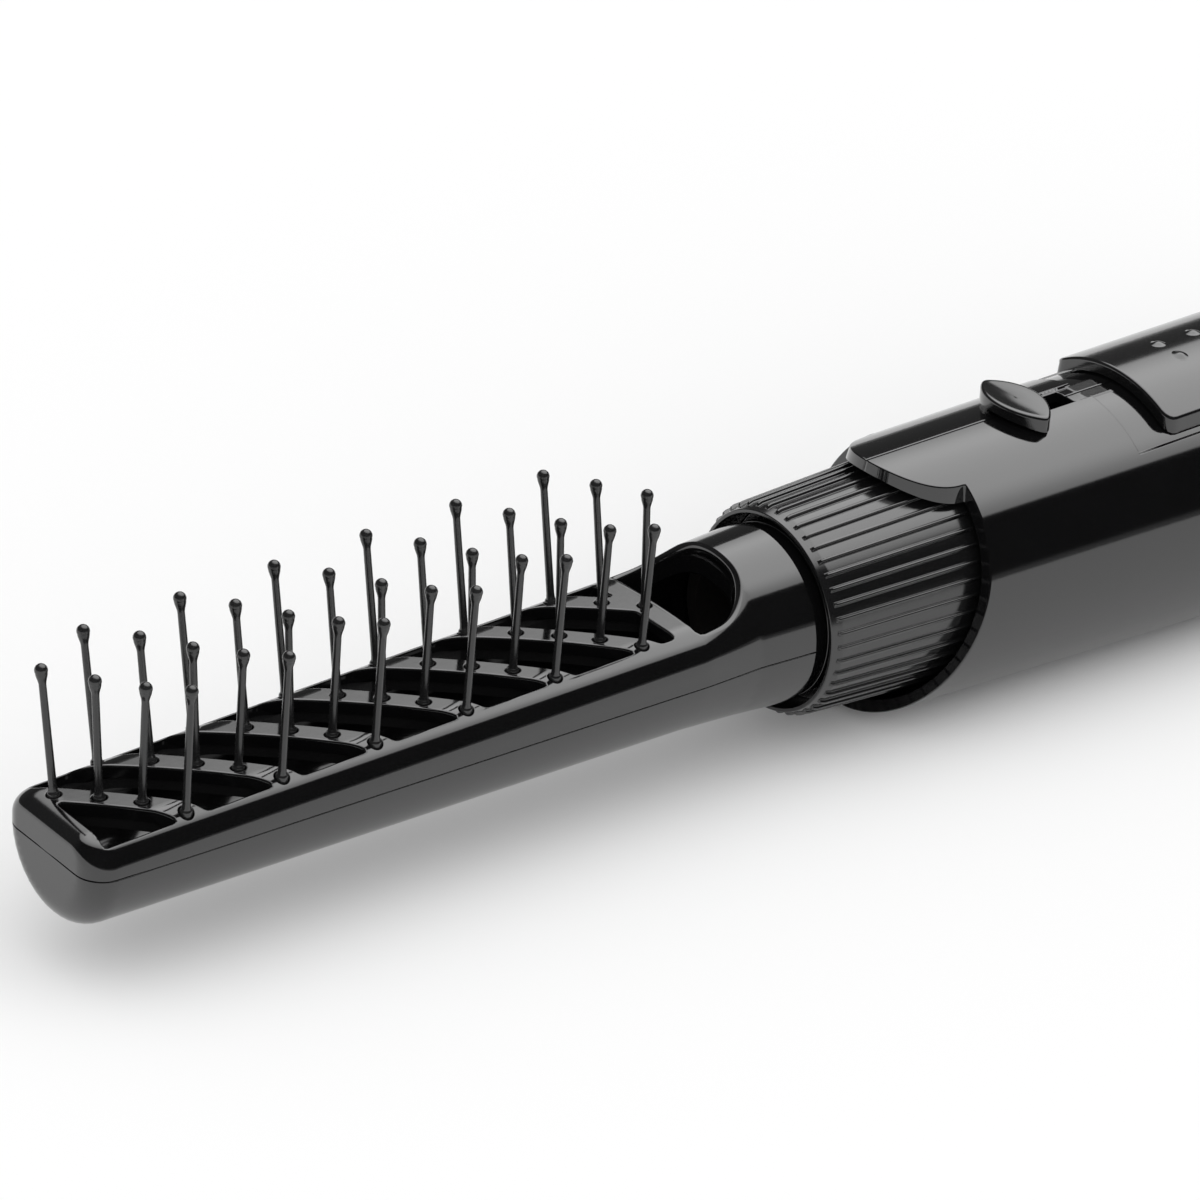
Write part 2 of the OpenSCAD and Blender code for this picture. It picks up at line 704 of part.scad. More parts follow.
// Crossed mica sheets with notches that hold the coil's turns
module heater_frame() color("#cdbf9c") placed() {
    reach = heater_r - 0.4 - 0.3;
    difference() {
        translate([heater_x + 1.7, 0, 0]) for (a = [0, 90]) rotate([a, 0, 0])
            translate([0, -reach, -mica_t / 2]) cube([heater_len - 3.4, 2 * reach, mica_t]);
        for (k = [0 : 4 * coil_turns]) rotate([90 * k, 0, 0])
            translate([coil_x + k * coil_pitch / 4 - wire_r - 0.3, coil_r - wire_r - 0.25, -1.5])
                cube([2 * wire_r + 0.6, 6, 3]);
    }
}

// A wire of radius wire along the points f[0..n], each [centre, radial direction, axial direction]
module wire_tube(f, wire, sides) {
    n = len(f);
    points = [for (p = f, j = [0 : sides - 1]) let (a = 360 * j / sides)
        p[0] + wire * (cos(a) * p[1] + sin(a) * p[2])];
    walls = [for (i = [0 : n - 2], j = [0 : sides - 1]) let (k = (j + 1) % sides, b = i * sides)
        each [[b + j, b + k, b + sides + k], [b + j, b + sides + k, b + sides + j]]];
    ends = [for (j = [1 : sides - 2]) each [[0, j + 1, j],
        [(n - 1) * sides, (n - 1) * sides + j, (n - 1) * sides + j + 1]]];
    polyhedron(points, concat(walls, ends));
}

// Steps of a coil about X: centre, outward direction and direction along the axis
function coil_steps(x0, r, pitch, turns, per_turn) = [for (i = [0 : turns * per_turn])
    let (a = 360 * i / per_turn, out = [0, cos(a), sin(a)])
        [[x0 + pitch * i / per_turn, 0, 0] + r * out, out, [1, 0, 0]]];

module heating_coil() color("#7d7466") placed()
    wire_tube(coil_steps(coil_x, coil_r, coil_pitch, coil_turns, 24), wire_r, 6);

module thermostat() color("#c8c9cc") placed() translate([heater_x + 9, 2.5, mica_t / 2 + 0.05]) {
    cube([9, 6.5, 1]);
    translate([4.5, 3.25, 0.5]) cylinder(h = 4, r = 3.1, $fn = 40);
}

module thermal_fuse() color("#d9d4c4") placed()
    translate([heater_x + 11, -6, mica_t / 2 + 1.75]) rotate([0, 90, 0]) {
        cylinder(h = 10, r = 1.7, $fn = 32);
        translate([0, 0, -4]) cylinder(h = 18, r = 0.4, $fn = 24);
    }

module motor_can() color("#a9abae") placed() difference() {
    union() {
        cyl_x(motor_x, motor_x + motor_len, motor_r);
        cyl_x(motor_x - can_nose_len, motor_x + can_wall / 2, can_nose_r);
    }
    cyl_x(motor_x + can_wall, motor_x + motor_len + over, motor_r - can_wall);
    cyl_x(motor_x - can_nose_len - over, motor_x + can_wall + over, shaft_r + run_gap);
}

module motor_end_cap() color("#e2ded2") placed() {
    x0 = motor_x + motor_len + seat_gap / 2;
    difference() {
        union() {
            cyl_x(x0, x0 + 0.8 * end_cap_t, motor_r - seat_gap);
            cyl_x(x0, x0 + end_cap_t, can_nose_r);
        }
        cyl_x(x0 - over, x0 + end_cap_t + over, shaft_r + run_gap);
    }
    for (side = [-1, 1])
        translate([x0 + end_cap_t / 2, side * terminal_side - terminal_t / 2, -terminal_w / 2])
            cube([end_cap_t + 1, terminal_t, terminal_w]);
}

module motor_magnets() color("#4b4b50") placed() intersection() {
    outer = motor_r - can_wall - seat_gap / 2;
    tube_x(motor_x + magnet_end, motor_x + motor_len - magnet_end, outer, outer - magnet_t);
    for (side = [-1, 1]) translate([motor_x, side > 0 ? magnet_half_gap : -big - magnet_half_gap, -big / 2])
        cube([motor_len, big, big]);
}

module motor_shaft() color("#c0c2c6") placed()
    cyl_x(motor_x - 2 * can_nose_len, fan_x + fan_len + 0.6, shaft_r);

module motor_armature() color("#8c4a2c") placed() {
    x0 = motor_x + armature_end;
    x1 = motor_x + motor_len - armature_end;
    tube_x(x0, x1, core_r, shaft_r + press_gap);
    for (k = [0 : 2]) rotate([120 * k, 0, 0]) intersection() {
        tube_x(x0, x1, armature_r, core_r / 2);
        union() {
            translate([motor_x, -tooth_w / 2, 0]) cube([motor_len, tooth_w, armature_r]);
            translate([motor_x, -shoe_w / 2, shoe_low]) cube([motor_len, shoe_w, armature_r]);
        }
    }
}

module fan() color("#e7e5df") placed() difference() {
    union() {
        cyl_x(fan_x, fan_x + fan_len, hub_r);
        intersection() {
            cyl_x(fan_x + 0.3, fan_x + fan_len - 0.3, fan_r);
            for (k = [0 : blade_count - 1]) rotate([k * 360 / blade_count, 0, 0])
                translate([fan_x + fan_len / 2, 0, hub_r - 1]) rotate([0, 0, blade_angle])
                    translate([-blade_chord / 2, -blade_t / 2, 0]) cube([blade_chord, blade_t, fan_r]);
        }
    }
    cyl_x(fan_x - over, fan_x + fan_len + over, shaft_r + press_gap);
    cyl_x(fan_x + 0.3 * fan_len, fan_x + fan_len + over, hub_r - hub_wall);
    cyl_x(fan_x - over, fan_x + 0.1 * fan_len, 0.6 * hub_r);
}

module air_guide() color("#d8d5cb") placed() {
    tube_x(guide_x, guide_x + guide_len, duct_r, duct_r - duct_wall);
    tube_x(motor_x + over, motor_x + guide_len, sleeve_r + sleeve_wall, sleeve_r);
    for (k = [0 : vane_count - 1]) rotate([k * 360 / vane_count, 0, 0])
        translate([motor_x + 0.12 * motor_len, -vane_t / 2, sleeve_r + sleeve_wall / 2])
            cube([0.6 * motor_len, vane_t, duct_r - duct_wall - sleeve_r]);
}

module circuit_board() color("#2f6b3a") placed()
    translate([board_x, -board_half_w, board_top - board_t]) cube([board_len, 2 * board_half_w, board_t]);

module rectifier_diodes() color("#26262a") placed() for (k = [0 : 3])
    translate([board_x + 3 + 3.4 * k, -10, board_top - board_t - 1.5]) rotate([-90, 0, 0]) {
        cylinder(h = 5, r = 1.3, $fn = 24);
        translate([0, 0, -1.5]) cylinder(h = 8, r = 0.35, $fn = 24);
    }

module slide_switch() color("#3b3d42") placed() difference() {
    translate([switch_x, -switch_half_w, board_top + 0.05])
        cube([switch_len, 2 * switch_half_w, switch_top - board_top]);
    translate([lever_x - switch_travel - 0.3, -lever_w / 2 - 0.2, switch_top - 3])
        cube([lever_l + switch_travel + 0.6, lever_w + 0.4, 4]);
}

module switch_lever() color("#f0f0ee") placed()
    translate([lever_x, -lever_w / 2, switch_top - lever_root])
        cube([lever_l, lever_w, lever_top - switch_top + lever_root]);

// The thumb cover outside, its post through the housing and the rod that reaches the switch
module switch_cover() color("#1c1c1e") placed() {
    under = recess_depth - slide_gap;
    difference() {
        intersection() {
            handle_form(cover_t - under);
            linear_extrude(60) round_rect(cover_x, cover_x + cover_len, cover_half_w, 2);
        }
        handle_form(-under);
    }
    for (k = [0 : dot_rows - 1], side = [-1, 1]) {
        x = dot_x + k * dot_pitch;
        r = handle_r(x) + cover_t - under;
        translate([x, side * dot_side, sqrt(r * r - dot_side * dot_side)]) {
            translate([0, 0, -1]) cylinder(h = 1 + dot_h / 2, r = dot_r, $fn = 32);
            translate([0, 0, dot_h / 2]) cylinder(h = dot_h / 2, r1 = dot_r, r2 = dot_r * 0.6, $fn = 32);
        }
    }
    translate([rod_post_x, -rod_post_w / 2, rod_low + rod_t / 3])
        cube([rod_post_l, rod_post_w, handle_r(rod_post_x) + post_rise - rod_low - rod_t / 3]);
    translate([rod_front_x, -rod_half_w, rod_low])
        cube([lever_x + fork_l - 2 - rod_front_x, 2 * rod_half_w, rod_high - rod_low]);
    difference() {
        translate([lever_x - 2, -fork_half_w, fork_low]) cube([fork_l, 2 * fork_half_w, rod_high - fork_low]);
        translate([lever_x - 0.1, -lever_w / 2 - 0.1, fork_low - 1])
            cube([lever_l + 0.2, lever_w + 0.2, lever_top - fork_low + 1.1]);
    }
}

// A lens shape in plan, from two arcs that meet at its ends
module lens_plan(half_l, half_w) {
    r = (half_l * half_l + half_w * half_w) / (2 * half_w);
    intersection() {
        translate([r - half_w, 0]) circle(r = r, $fn = 120);
        translate([half_w - r, 0]) circle(r = r, $fn = 120);
    }
}

// The lens button, its post through the slot and the sloped foot that drives the lock pin
module lock_slider() color("#141416") placed() {
    intersection() {
        translate([button_x, 0, 0]) linear_extrude(60) lens_plan(button_half_l, button_half_w);
        tube_x(button_x - 10, button_x + 10, button_under_r + button_h, button_under_r);
    }
    translate([slider_post_x, -slider_post_w / 2, foot_top_h - 0.5])
        cube([slider_post_l, slider_post_w, button_under_r - foot_top_h + 1]);
    rotate([90, 0, 0]) linear_extrude(2 * foot_half_w, center = true)
        polygon([[foot_front_x, foot_h - lock_drop], [ramp_end_x - lock_travel, foot_h - lock_drop],
            [ramp_end_x, foot_h], [foot_rear_x, foot_h], [foot_rear_x, foot_top_h],
            [foot_front_x, foot_top_h]]);
}

module lock_pin() color("#b4b6ba") placed() translate([lock_x, 0, 0]) {
    translate([0, 0, pin_tip_h]) cylinder(h = pin_head_top - pin_tip_h, r = lock_pin_r, $fn = 32);
    translate([0, 0, pin_head_top - pin_head_t]) cylinder(h = pin_head_t, r = pin_head_r, $fn = 32);
}

module lock_spring() color("#c9cbce") placed() {
    rise = (spring_high - spring_low - 2 * lock_wire_r) / lock_turns;
    steps = coil_steps(0, spring_r, rise, lock_turns, 24);
    echo(lock_spring_gap_mm = rise - 2 * lock_wire_r);
    translate([lock_x, 0, spring_low + lock_wire_r]) rotate([0, -90, 0]) wire_tube(steps, lock_wire_r, 6);
}

// The rear cap: a neck in the housing, a rounded rim and a flat rear wall with air slots
module inlet_cap() color("#19191b") placed() {
    x0 = housing_len + cap_seat_gap;
    inner = cap_neck_r - 1.7;
    difference() {
        turned([[inner, housing_len - cap_neck_len], [cap_neck_r, housing_len - cap_neck_len],
            [cap_neck_r, x0], [cap_r, x0], [cap_r - 0.2, x0 + 4], [cap_r - 3, cap_face_x - 2.5],
            [cap_r - 7, cap_face_x], [gland_hole_r, cap_face_x], [gland_hole_r, cap_face_x - cap_wall],
            [cap_r - 8, cap_face_x - cap_wall], [cap_r - 5, cap_face_x - cap_wall - 2.2],
            [inner, x0 + 3], [inner, housing_len - 1], [inner - 1, housing_len - 1],
            [inner - 1, housing_len - 2.4], [inner, housing_len - 2.4]]);
        for (k = [0 : inlet_slots - 1]) rotate([k * 360 / inlet_slots, 0, 0])
            translate([cap_face_x - 7, -inlet_slot_w / 2, gland_shoulder_r + 0.8])
                cube([10, inlet_slot_w, cap_r - 4 - gland_shoulder_r - 0.8]);
    }
}

// A perforated disc against the cap's inner ledge
module dust_filter() color("#4a4a4c") placed() {
    r = cap_neck_r - 1.7 - 0.15;
    first_ring_r = 6.6;
    ring_pitch = (r - 1.9 - first_ring_r) / 3;
    difference() {
        tube_x(housing_len - 3.3, housing_len - 2.5, r, 5);
        for (ring = [0 : 3], k = [0 : 11 + 6 * ring]) rotate([360 * k / (12 + 6 * ring), 0, 0])
            translate([housing_len - 4, 0, first_ring_r + ring_pitch * ring]) rotate([0, 90, 0])
                cylinder(h = 3, r = 0.95, $fn = 16);
    }
}

module cord_gland() color("#121214") placed() {
    x0 = cap_face_x - cap_wall - 0.3;
    x1 = cap_face_x + slide_gap;
    turned([[gland_bore_r, x0 - 4.2], [5.2, x0 - 4.2], [5.2, x0], [gland_neck_r, x0], [gland_neck_r, x1],
        [gland_shoulder_r, x1], [gland_shoulder_r, x1 + 2.2], [gland_shoulder_r - 1.8, x1 + 5.2],
        [gland_shoulder_r - 2.8, rear_x], [gland_bore_r, rear_x]]);
}

module gland_ring() color("#2c2c2e") placed() {
    x0 = cap_face_x - cap_wall - 0.3;
    tube_x(x0 - 3.2, x0, 8.6, 5.25);
}

brush_top_shell();
brush_base_shell();
brush_pins();
grip_collar();
head_spigot();
housing_left();
housing_right();
housing_screws();
air_nozzle();
heater_tube();
heater_frame();
heating_coil();
thermostat();
thermal_fuse();
motor_can();
motor_end_cap();
motor_magnets();
motor_shaft();
motor_armature();
fan();
air_guide();
circuit_board();
rectifier_diodes();
slide_switch();
switch_lever();
switch_cover();
lock_slider();
lock_pin();
lock_spring();
inlet_cap();
dust_filter();
cord_gland();
gland_ring();
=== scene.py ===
"""Hot air styler: detailed pieces, finishes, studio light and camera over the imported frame."""

import json
import math

import bpy
import numpy as np
from mathutils import Matrix, Vector
from mathutils.geometry import delaunay_2d_cdt


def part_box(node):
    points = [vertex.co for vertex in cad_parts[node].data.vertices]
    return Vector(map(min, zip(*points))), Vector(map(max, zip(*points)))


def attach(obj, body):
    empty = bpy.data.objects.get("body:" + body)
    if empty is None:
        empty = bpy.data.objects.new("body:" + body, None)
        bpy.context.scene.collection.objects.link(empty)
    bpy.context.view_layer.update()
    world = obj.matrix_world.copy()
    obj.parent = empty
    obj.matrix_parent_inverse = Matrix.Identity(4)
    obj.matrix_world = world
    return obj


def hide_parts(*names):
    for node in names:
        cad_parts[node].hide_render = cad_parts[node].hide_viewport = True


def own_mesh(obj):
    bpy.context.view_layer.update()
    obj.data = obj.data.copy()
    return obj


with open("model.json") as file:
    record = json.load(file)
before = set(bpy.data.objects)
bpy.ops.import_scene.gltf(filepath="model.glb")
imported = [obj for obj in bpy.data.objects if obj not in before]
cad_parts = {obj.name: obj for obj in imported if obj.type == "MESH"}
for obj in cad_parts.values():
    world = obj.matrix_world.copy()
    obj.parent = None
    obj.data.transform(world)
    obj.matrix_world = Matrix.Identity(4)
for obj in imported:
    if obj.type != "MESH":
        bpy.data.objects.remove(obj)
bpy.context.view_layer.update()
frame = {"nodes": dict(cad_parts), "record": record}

# Sizes in millimetres. X runs along the styler from the collar's front edge, Z up from its axis.
# Reach of the brush to the front and of the gland to the rear, height of the axis over the table
BRUSH_LEN, REAR_X, REST_H = 132.0, 206.5, 22.4
SHIFT = np.array([(BRUSH_LEN - REAR_X) / 2, 0.0, REST_H])
# Brush body: its front end and the neck's start, half widths, depth, heights of the pin plate and roundings
TIP_X, NECK_X = -BRUSH_LEN, -24.0
TIP_HALF_W, NECK_HALF_W, BODY_DEPTH = 12.15, 14.0, 13.15
PLATE_TIP_H, PLATE_NECK_H, SHOULDER_R, TIP_ROUND, TIP_SINK = 4.15, 7.75, 5.8, 4.5, 0.6
SHELL_WALL, NECK_R, NECK_NARROWER, NECK_MID_X, NECK_END_X = 2.0, 14.4, 0.7, -13.5, -3.4
# Parting line between the shells: height at the collar, slope and gap, how far it lies below the axis behind the
# neck, and the angle kept free at a seam's rings
PARTING_H, PARTING_SLOPE, PARTING_GAP = -0.3, math.tan(math.radians(0.55)), 0.1
SEAM_DIP, SEAM_TURN = 0.35, 0.004
# The brush skins unrolled: length of the end face, first row behind the tip's round, half spans, and the shares of
# the upper span that its flat and, once it is SIDE_FULL high, its side line take
FACE, ROW0 = 7.0, TIP_X + TIP_ROUND
START = -TIP_ROUND * math.pi / 2 - 0.99 * FACE
TOP_SPAN, LOW_SPAN, FLAT_SHARE, SIDE_SHARE, SIDE_FULL = 18.5, 19.5, 0.43, 0.09, 0.5
# Roundings of the shells' rims and of the pin holes
RIM_EDGE, PIN_HOLE_EDGE = 0.15, 0.22
# Ribs, the slots between them and the bar before the outlet
RIB_COUNT, RIB_PITCH, LAST_RIB_X, RIB_W, RIB_R = 7, 16.2, -26.0, 3.9, 110.0
SLOT_HALF_W, SLOT_FRONT_X, BAR_FRONT_X, SLOT_LEAST = 10.15, -128.8, -28.2, 0.35
SLOT_ROUND, SLOT_EDGE, OUTLET_ROUND, OUTLET_EDGE = 0.9, 0.4, 1.2, 1.2
OUTLET_X, OUTLET_LEN, OUTLET_HALF_W = -23.8, 9.9, 10.6
# Pins: place across, sideways lean and height of each column, radii, lean to the front, and the rails under them
PIN_COLUMNS = (
    (9.35, 6.4, 21.5),
    (4.46, 5.7, 20.2),
    (0.0, 0.0, 19.7),
    (-4.46, -5.7, 20.2),
    (-9.35, -6.4, 21.5),
)
PIN_R, PIN_BALL_R, PIN_FOOT_R, PIN_HOLE_R, PIN_LEAN = 0.6, 0.98, 0.95, 1.1, 2.4
RAIL_W, RAIL_T, RAIL_GAP, SIDE_RAIL_W, SIDE_RAIL_Y = RIB_W - 1.1, 1.7, 0.25, 1.6, 9.3
# Grip collar: radius and slope of the grip, slope of the lip before it, its bores, and the ridges
COLLAR_R, COLLAR_TAPER, COLLAR_LEN, LIP_LEN, LIP_SLOPE = 16.75, 0.052, 31.0, 2.0, 0.275
SKIRT_WALL, ROOT_BORE, ROOT_R, BEAD_R = 2.2, 13.05, 14.2, 14.1
RIDGES, RIDGE_H, RIDGE_W, GRIP_START, GRIP_END = 45, 0.5, 0.6, -1.0, 30.4
# Handle: length, radius and taper, then the long arc, wall, room for the collar, tongue and scooped edge
HOUSING_LEN, HANDLE_R, HANDLE_TAPER, TAPER_END, ARC_R, WALL = 188.0, 20.66, 0.0258, 100.0, 775.0, 2.2
COLLAR_ROOM_R, COLLAR_ROOM_END = 19.302, 32.5
TONGUE_TIP, TONGUE_HALF_W, TONGUE_DRAFT, TONGUE_ROOT_X, EDGE_R = 16.8, 10.8, 0.4, 28.0, 92.0
# The scooped edge's height at the tongue's root and place at the bottom, and where the tongue's wall starts to lean
EDGE_ROOT_Z, EDGE_LOW_X, LEAN_X = 18.0, 15.0, 24
# Radius at which the handle's skin is unrolled
UNROLL = 21.0
# Inside the housing: place and bore of each ring, then place, height and reach of each screw
RINGS = ((31.7, 14.0), (35.4, 14.0), (78, 18.9), (104, 17.5), (126.5, 19.3), (150.2, 19.3))
RING_T, RING_INSET = 1.3, 1.6
SCREWS = ((43, -16.2, 8.4), (116.5, -17.2, 10.0), (175.0, -14.5, 9.5))
# Radius of the hole over a screw, bore and radius of its post, the same round its head, and clearance of the skin
SCREW_HOLE_R, POST_BORE, POST_R, HEAD_BORE, HEAD_R, POST_CLEAR = 2.7, 1.34, 2.2, 2.72, 3.6, 0.8
# Lock slider: place and size of the lens button, dish and tilt of its top
BUTTON_X, BUTTON_HALF_L, BUTTON_HALF_W, BUTTON_H, BUTTON_UNDER_R = 47.6, 7.9, 4.3, 1.9, 22.4554
BUTTON_RIM, BUTTON_SOFT, BUTTON_DISH, BUTTON_BEND, BUTTON_TILT = 0.5, 1.3, 0.2, 140.0, 0.045
# Under it a post, as two opposite corners, and a sloped foot, as an outline seen from the side
BUTTON_POST, FOOT_HALF_W = ((45, -1.8, 18.1), (50.2, 1.8, 23.2)), 4.0
FOOT_OUTLINE = ((37.3, 15.8), (37.4, 15.8), (45.4, 17.2), (63, 17.2), (63, 18.6), (37.3, 18.6))
# Switch cover, its recess, the slider's track and the pad between them, as (start, end, half width)
COVER_X, COVER_LEN, COVER_HALF_W, COVER_T, RECESS, RECESS_RUN = 68.5, 48.5, 13.6, 2.1, 0.5, 0.4
COVER_ROOM = (COVER_X - 6.7, COVER_X + COVER_LEN + 0.5, COVER_HALF_W + 1)
TRACK, PAD, PAD_SINK = (BUTTON_X - 3.3, 62.3, 2.6), (60.9, 66.4, 2.6), 0.33
# Depth of the cover's foot below the handle's skin, rounding of its corners and edge
COVER_SUNK, COVER_ROUND, COVER_EDGE = 0.2, 2.0, 0.55
# Grip dots on the cover: radius, height, place of the first pair, pitch, and place across
DOT_R, DOT_H, DOT_X, DOT_PITCH, DOT_Y = 1.7, 0.48, COVER_X + 12.5, 7.7, 2.6
# Under the cover its post, its rod and the four walls of its fork, each as two opposite corners
COVER_INSIDE = (
    ((92, -2.5, 18.9), (98, 2.5, 23.6)),
    ((90, -4, 18.4), (125.3, 4, 19.9)),
    ((117.3, -3.4, 16.4), (119.2, 3.4, 19.0)),
    ((123.4, -3.4, 16.4), (125.3, 3.4, 19.0)),
    ((117.3, -3.4, 16.4), (125.3, -1.5, 19.0)),
    ((117.3, 1.5, 16.4), (125.3, 3.4, 19.0)),
)
# Openings in the housing's top seam for the posts of switch cover and lock slider
SEAM_NOTCHES = ((85.7, 98.3, 2.8), (44.7, 58.5, 2.1))
# Edges in the skin that need rows of points close together, and where the rows lie before and behind each
CREASES = (COVER_ROOM, (BUTTON_X - 3.3, 61.5, 2.6), PAD)
CREASE_ROWS = (-0.24, -0.12, 0.0, 0.12, 0.24)
# Lock spring round its pin, and the drop of the pin
LOCK_X, SPRING_R, SPRING_WIRE_R, SPRING_TURNS, PIN_DROP = 47.8, 2.02, 0.15, 2.5, 1.4
# Light: direction and edge of the round soft box, its levels, and the levels of what lies round it in reflections
SOFTBOX, WINDOW_EDGE, WINDOW_SOFT, WINDOW_MID = (0.3915, 0.1426, 0.9085), 0.748, 0.007, 0.93
BOX_LEVEL, EDGE_LEVEL, FAR_LEVEL, HAZE_LEVEL, DARK_LEVEL = 2.95, 1.6, 0.08, 0.24, 0.01
# Sideways share of a ray over which the far side's glow rises, and the slopes between which the haze fades
FAR_RISE, HAZE_FADE = (0.0, 0.7), (0.09, 0.02)
# The dome that lights all else, brighter on the side of the key light, from one nearness to it to another
KEY_SIDE, DOME_LEVEL, DOME_SIDE, DOME_RISE = (-0.42, -0.66, 0.62), 0.3, 1.3, (-0.3, 0.9)
# The floor's half size in metres and its tone
FLOOR_HALF, FLOOR_TONE = 20.0, 0.92
# Camera: focal length in pixels of the 1200 pixel photograph, turn, tilt and roll in radians, and place
FOCAL_PX, PHOTO_PX, SENSOR = 4915.978, 1200, 36.0
YAW, PITCH, ROLL = 0.685504977, 0.476430131, -0.0559645967
CAMERA_PLACE = (-448.50662822, -505.96693433, 348.32524814)


# Mesh helpers


def columns(*values):
    """Points from their coordinates, each an array or a single number."""
    return np.stack(np.broadcast_arrays(*values), -1)


def unit(v):
    """Vectors made one long. One of no length stays zero."""
    return v / np.maximum(np.linalg.norm(v, axis=-1, keepdims=True), 1e-12)


def build(name, parts, slot, body, *nodes):
    """One mesh that stands for a node, from parts: points in mm, triangles, and a normal for each of their corners.

    Equal points are welded and empty triangles dropped.
    """
    points = np.concatenate([p[0] for p in parts])
    starts = np.cumsum([0] + [len(p[0]) for p in parts[:-1]])
    tris = np.concatenate([p[1] + s for p, s in zip(parts, starts)])
    corner = np.concatenate([p[2] for p in parts])
    _, first, inverse = np.unique(np.round(points, 4), axis=0, return_index=True, return_inverse=True)
    tris = inverse.reshape(-1)[tris]
    points = (points[first] + SHIFT) * 0.001
    keep = (tris[:, 0] != tris[:, 1]) & (tris[:, 1] != tris[:, 2]) & (tris[:, 2] != tris[:, 0])
    tris, corner = tris[keep], corner[keep]
    me = bpy.data.meshes.new(name)
    me.vertices.add(len(points))
    me.vertices.foreach_set("co", points.astype(np.float32).ravel())
    me.loops.add(3 * len(tris))
    me.loops.foreach_set("vertex_index", tris.astype(np.int32).ravel())
    me.polygons.add(len(tris))
    me.polygons.foreach_set("loop_start", np.arange(0, 3 * len(tris), 3, dtype=np.int32))
    me.update(calc_edges=True)
    me.polygons.foreach_set("use_smooth", np.ones(len(tris), dtype=bool))
    me.normals_split_custom_set(unit(corner).reshape(-1, 3).tolist())
    ob = bpy.data.objects.new(name, me)
    bpy.context.scene.collection.objects.link(ob)
    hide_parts(*nodes)
    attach(ob, body)
    me.materials.append(FINISH[slot])
    return ob


def quads(rows, cols, wrap_rows=False, wrap_cols=False):
    """Triangles of a grid of rows x cols points, point (i, j) being number i * cols + j."""
    i, j = np.arange(rows if wrap_rows else rows - 1), np.arange(cols if wrap_cols else cols - 1)
    i, j = np.meshgrid(i, j, indexing="ij")
    a, b = i * cols + j, ((i + 1) % rows) * cols + j
    c, d = ((i + 1) % rows) * cols + (j + 1) % cols, i * cols + (j + 1) % cols
    return np.concatenate([columns(a, b, c).reshape(-1, 3), columns(a, c, d).reshape(-1, 3)])


def turned_out(points, tris, normals):
    """Triangles put in the order that makes each face look along its corner normals."""
    p = points[tris]
    face = np.cross(p[:, 1] - p[:, 0], p[:, 2] - p[:, 0])
    flip = (face * normals.sum(1)).sum(1) < 0
    tris[flip] = tris[flip][:, [0, 2, 1]]
    normals[flip] = normals[flip][:, [0, 2, 1]]
    return points, tris, normals


def grid_part(points, normals, wrap_rows=False, wrap_cols=False):
    """A part from a grid of points and their normals, both (rows, cols, 3)."""
    tris = quads(points.shape[0], points.shape[1], wrap_rows, wrap_cols)
    return turned_out(points.reshape(-1, 3), tris, normals.reshape(-1, 3)[tris])


def disc(ring, away):
    """A flat face that closes a ring of points, as a fan from the first of them."""
    k = np.arange(1, len(ring) - 1)
    return turned_out(ring, columns(0, k, k + 1), np.tile(np.array(away, float), (len(k), 3, 1)))


def flat_end(outline, points, away):
    """A flat face inside a closed outline, triangulated in the outline's own plane and put at points."""
    m = len(outline)
    plan = [Vector((float(u), float(v))) for u, v in outline]
    out = delaunay_2d_cdt(plan, [(i, (i + 1) % m) for i in range(m)], [], 1, 1e-7)
    tris = np.array([[out[3][k][0] for k in face] for face in out[2]])
    return turned_out(points, tris, np.tile(np.array(away, float), (len(tris), 3, 1)))


def rounded(corners, radii, steps=4):
    """Points and normals of a closed outline whose corners are tangent arcs, a normal being a side turned right."""
    pts, nrm = [], []
    count = len(corners)
    corners = np.array(corners, float)
    for i, p in enumerate(corners):
        before, after = corners[i - 1] - p, corners[(i + 1) % count] - p
        la, lb = np.linalg.norm(before), np.linalg.norm(after)
        ua, ub = before / la, after / lb
        half = math.acos(max(-1.0, min(1.0, float(ua @ ub)))) / 2
        r = radii[i] if hasattr(radii, "__len__") else radii
        reach = min(r / max(math.tan(half), 1e-6), 0.45 * la, 0.45 * lb)
        r = reach * math.tan(half)
        centre = p + (ua + ub) / max(np.linalg.norm(ua + ub), 1e-9) * r / max(math.sin(half), 1e-6)
        na, nb = np.array([-ua[1], ua[0]]), np.array([ub[1], -ub[0]])
        t = np.linspace(0, 1, steps + 1)[:, None]
        swing = math.acos(max(-1.0, min(1.0, float(na @ nb))))
        if swing < 1e-4:
            pts.append(p[None])
            nrm.append(na[None])
            continue
        n = (np.sin((1 - t) * swing) * na + np.sin(t * swing) * nb) / math.sin(swing)
        side = 1.0 if (p - centre) @ (na + nb) > 0 else -1.0
        pts.append(centre + side * r * n)
        nrm.append(n)
    return np.concatenate(pts), np.concatenate(nrm)


def turned(profile, normals, angles):
    """A profile of (place along X, radius) carried round the X axis: y = r sin a, z = r cos a."""
    s, c = np.sin(angles)[None, :], np.cos(angles)[None, :]
    x, r = profile[:, 0:1], profile[:, 1:2]
    p = columns(x, r * s, r * c)
    n = columns(normals[:, 0:1], normals[:, 1:2] * s, normals[:, 1:2] * c)
    return p, n


def area(loop):
    """The area inside a closed loop, negative where it runs clockwise."""
    return 0.5 * np.sum(loop[:, 0] * np.roll(loop[:, 1], -1) - loop[:, 1] * np.roll(loop[:, 0], -1))


def facing_out(prof, nrm):
    """An outline's normals, turned to point out of the area that it encloses."""
    return nrm if area(prof) > 0 else -nrm


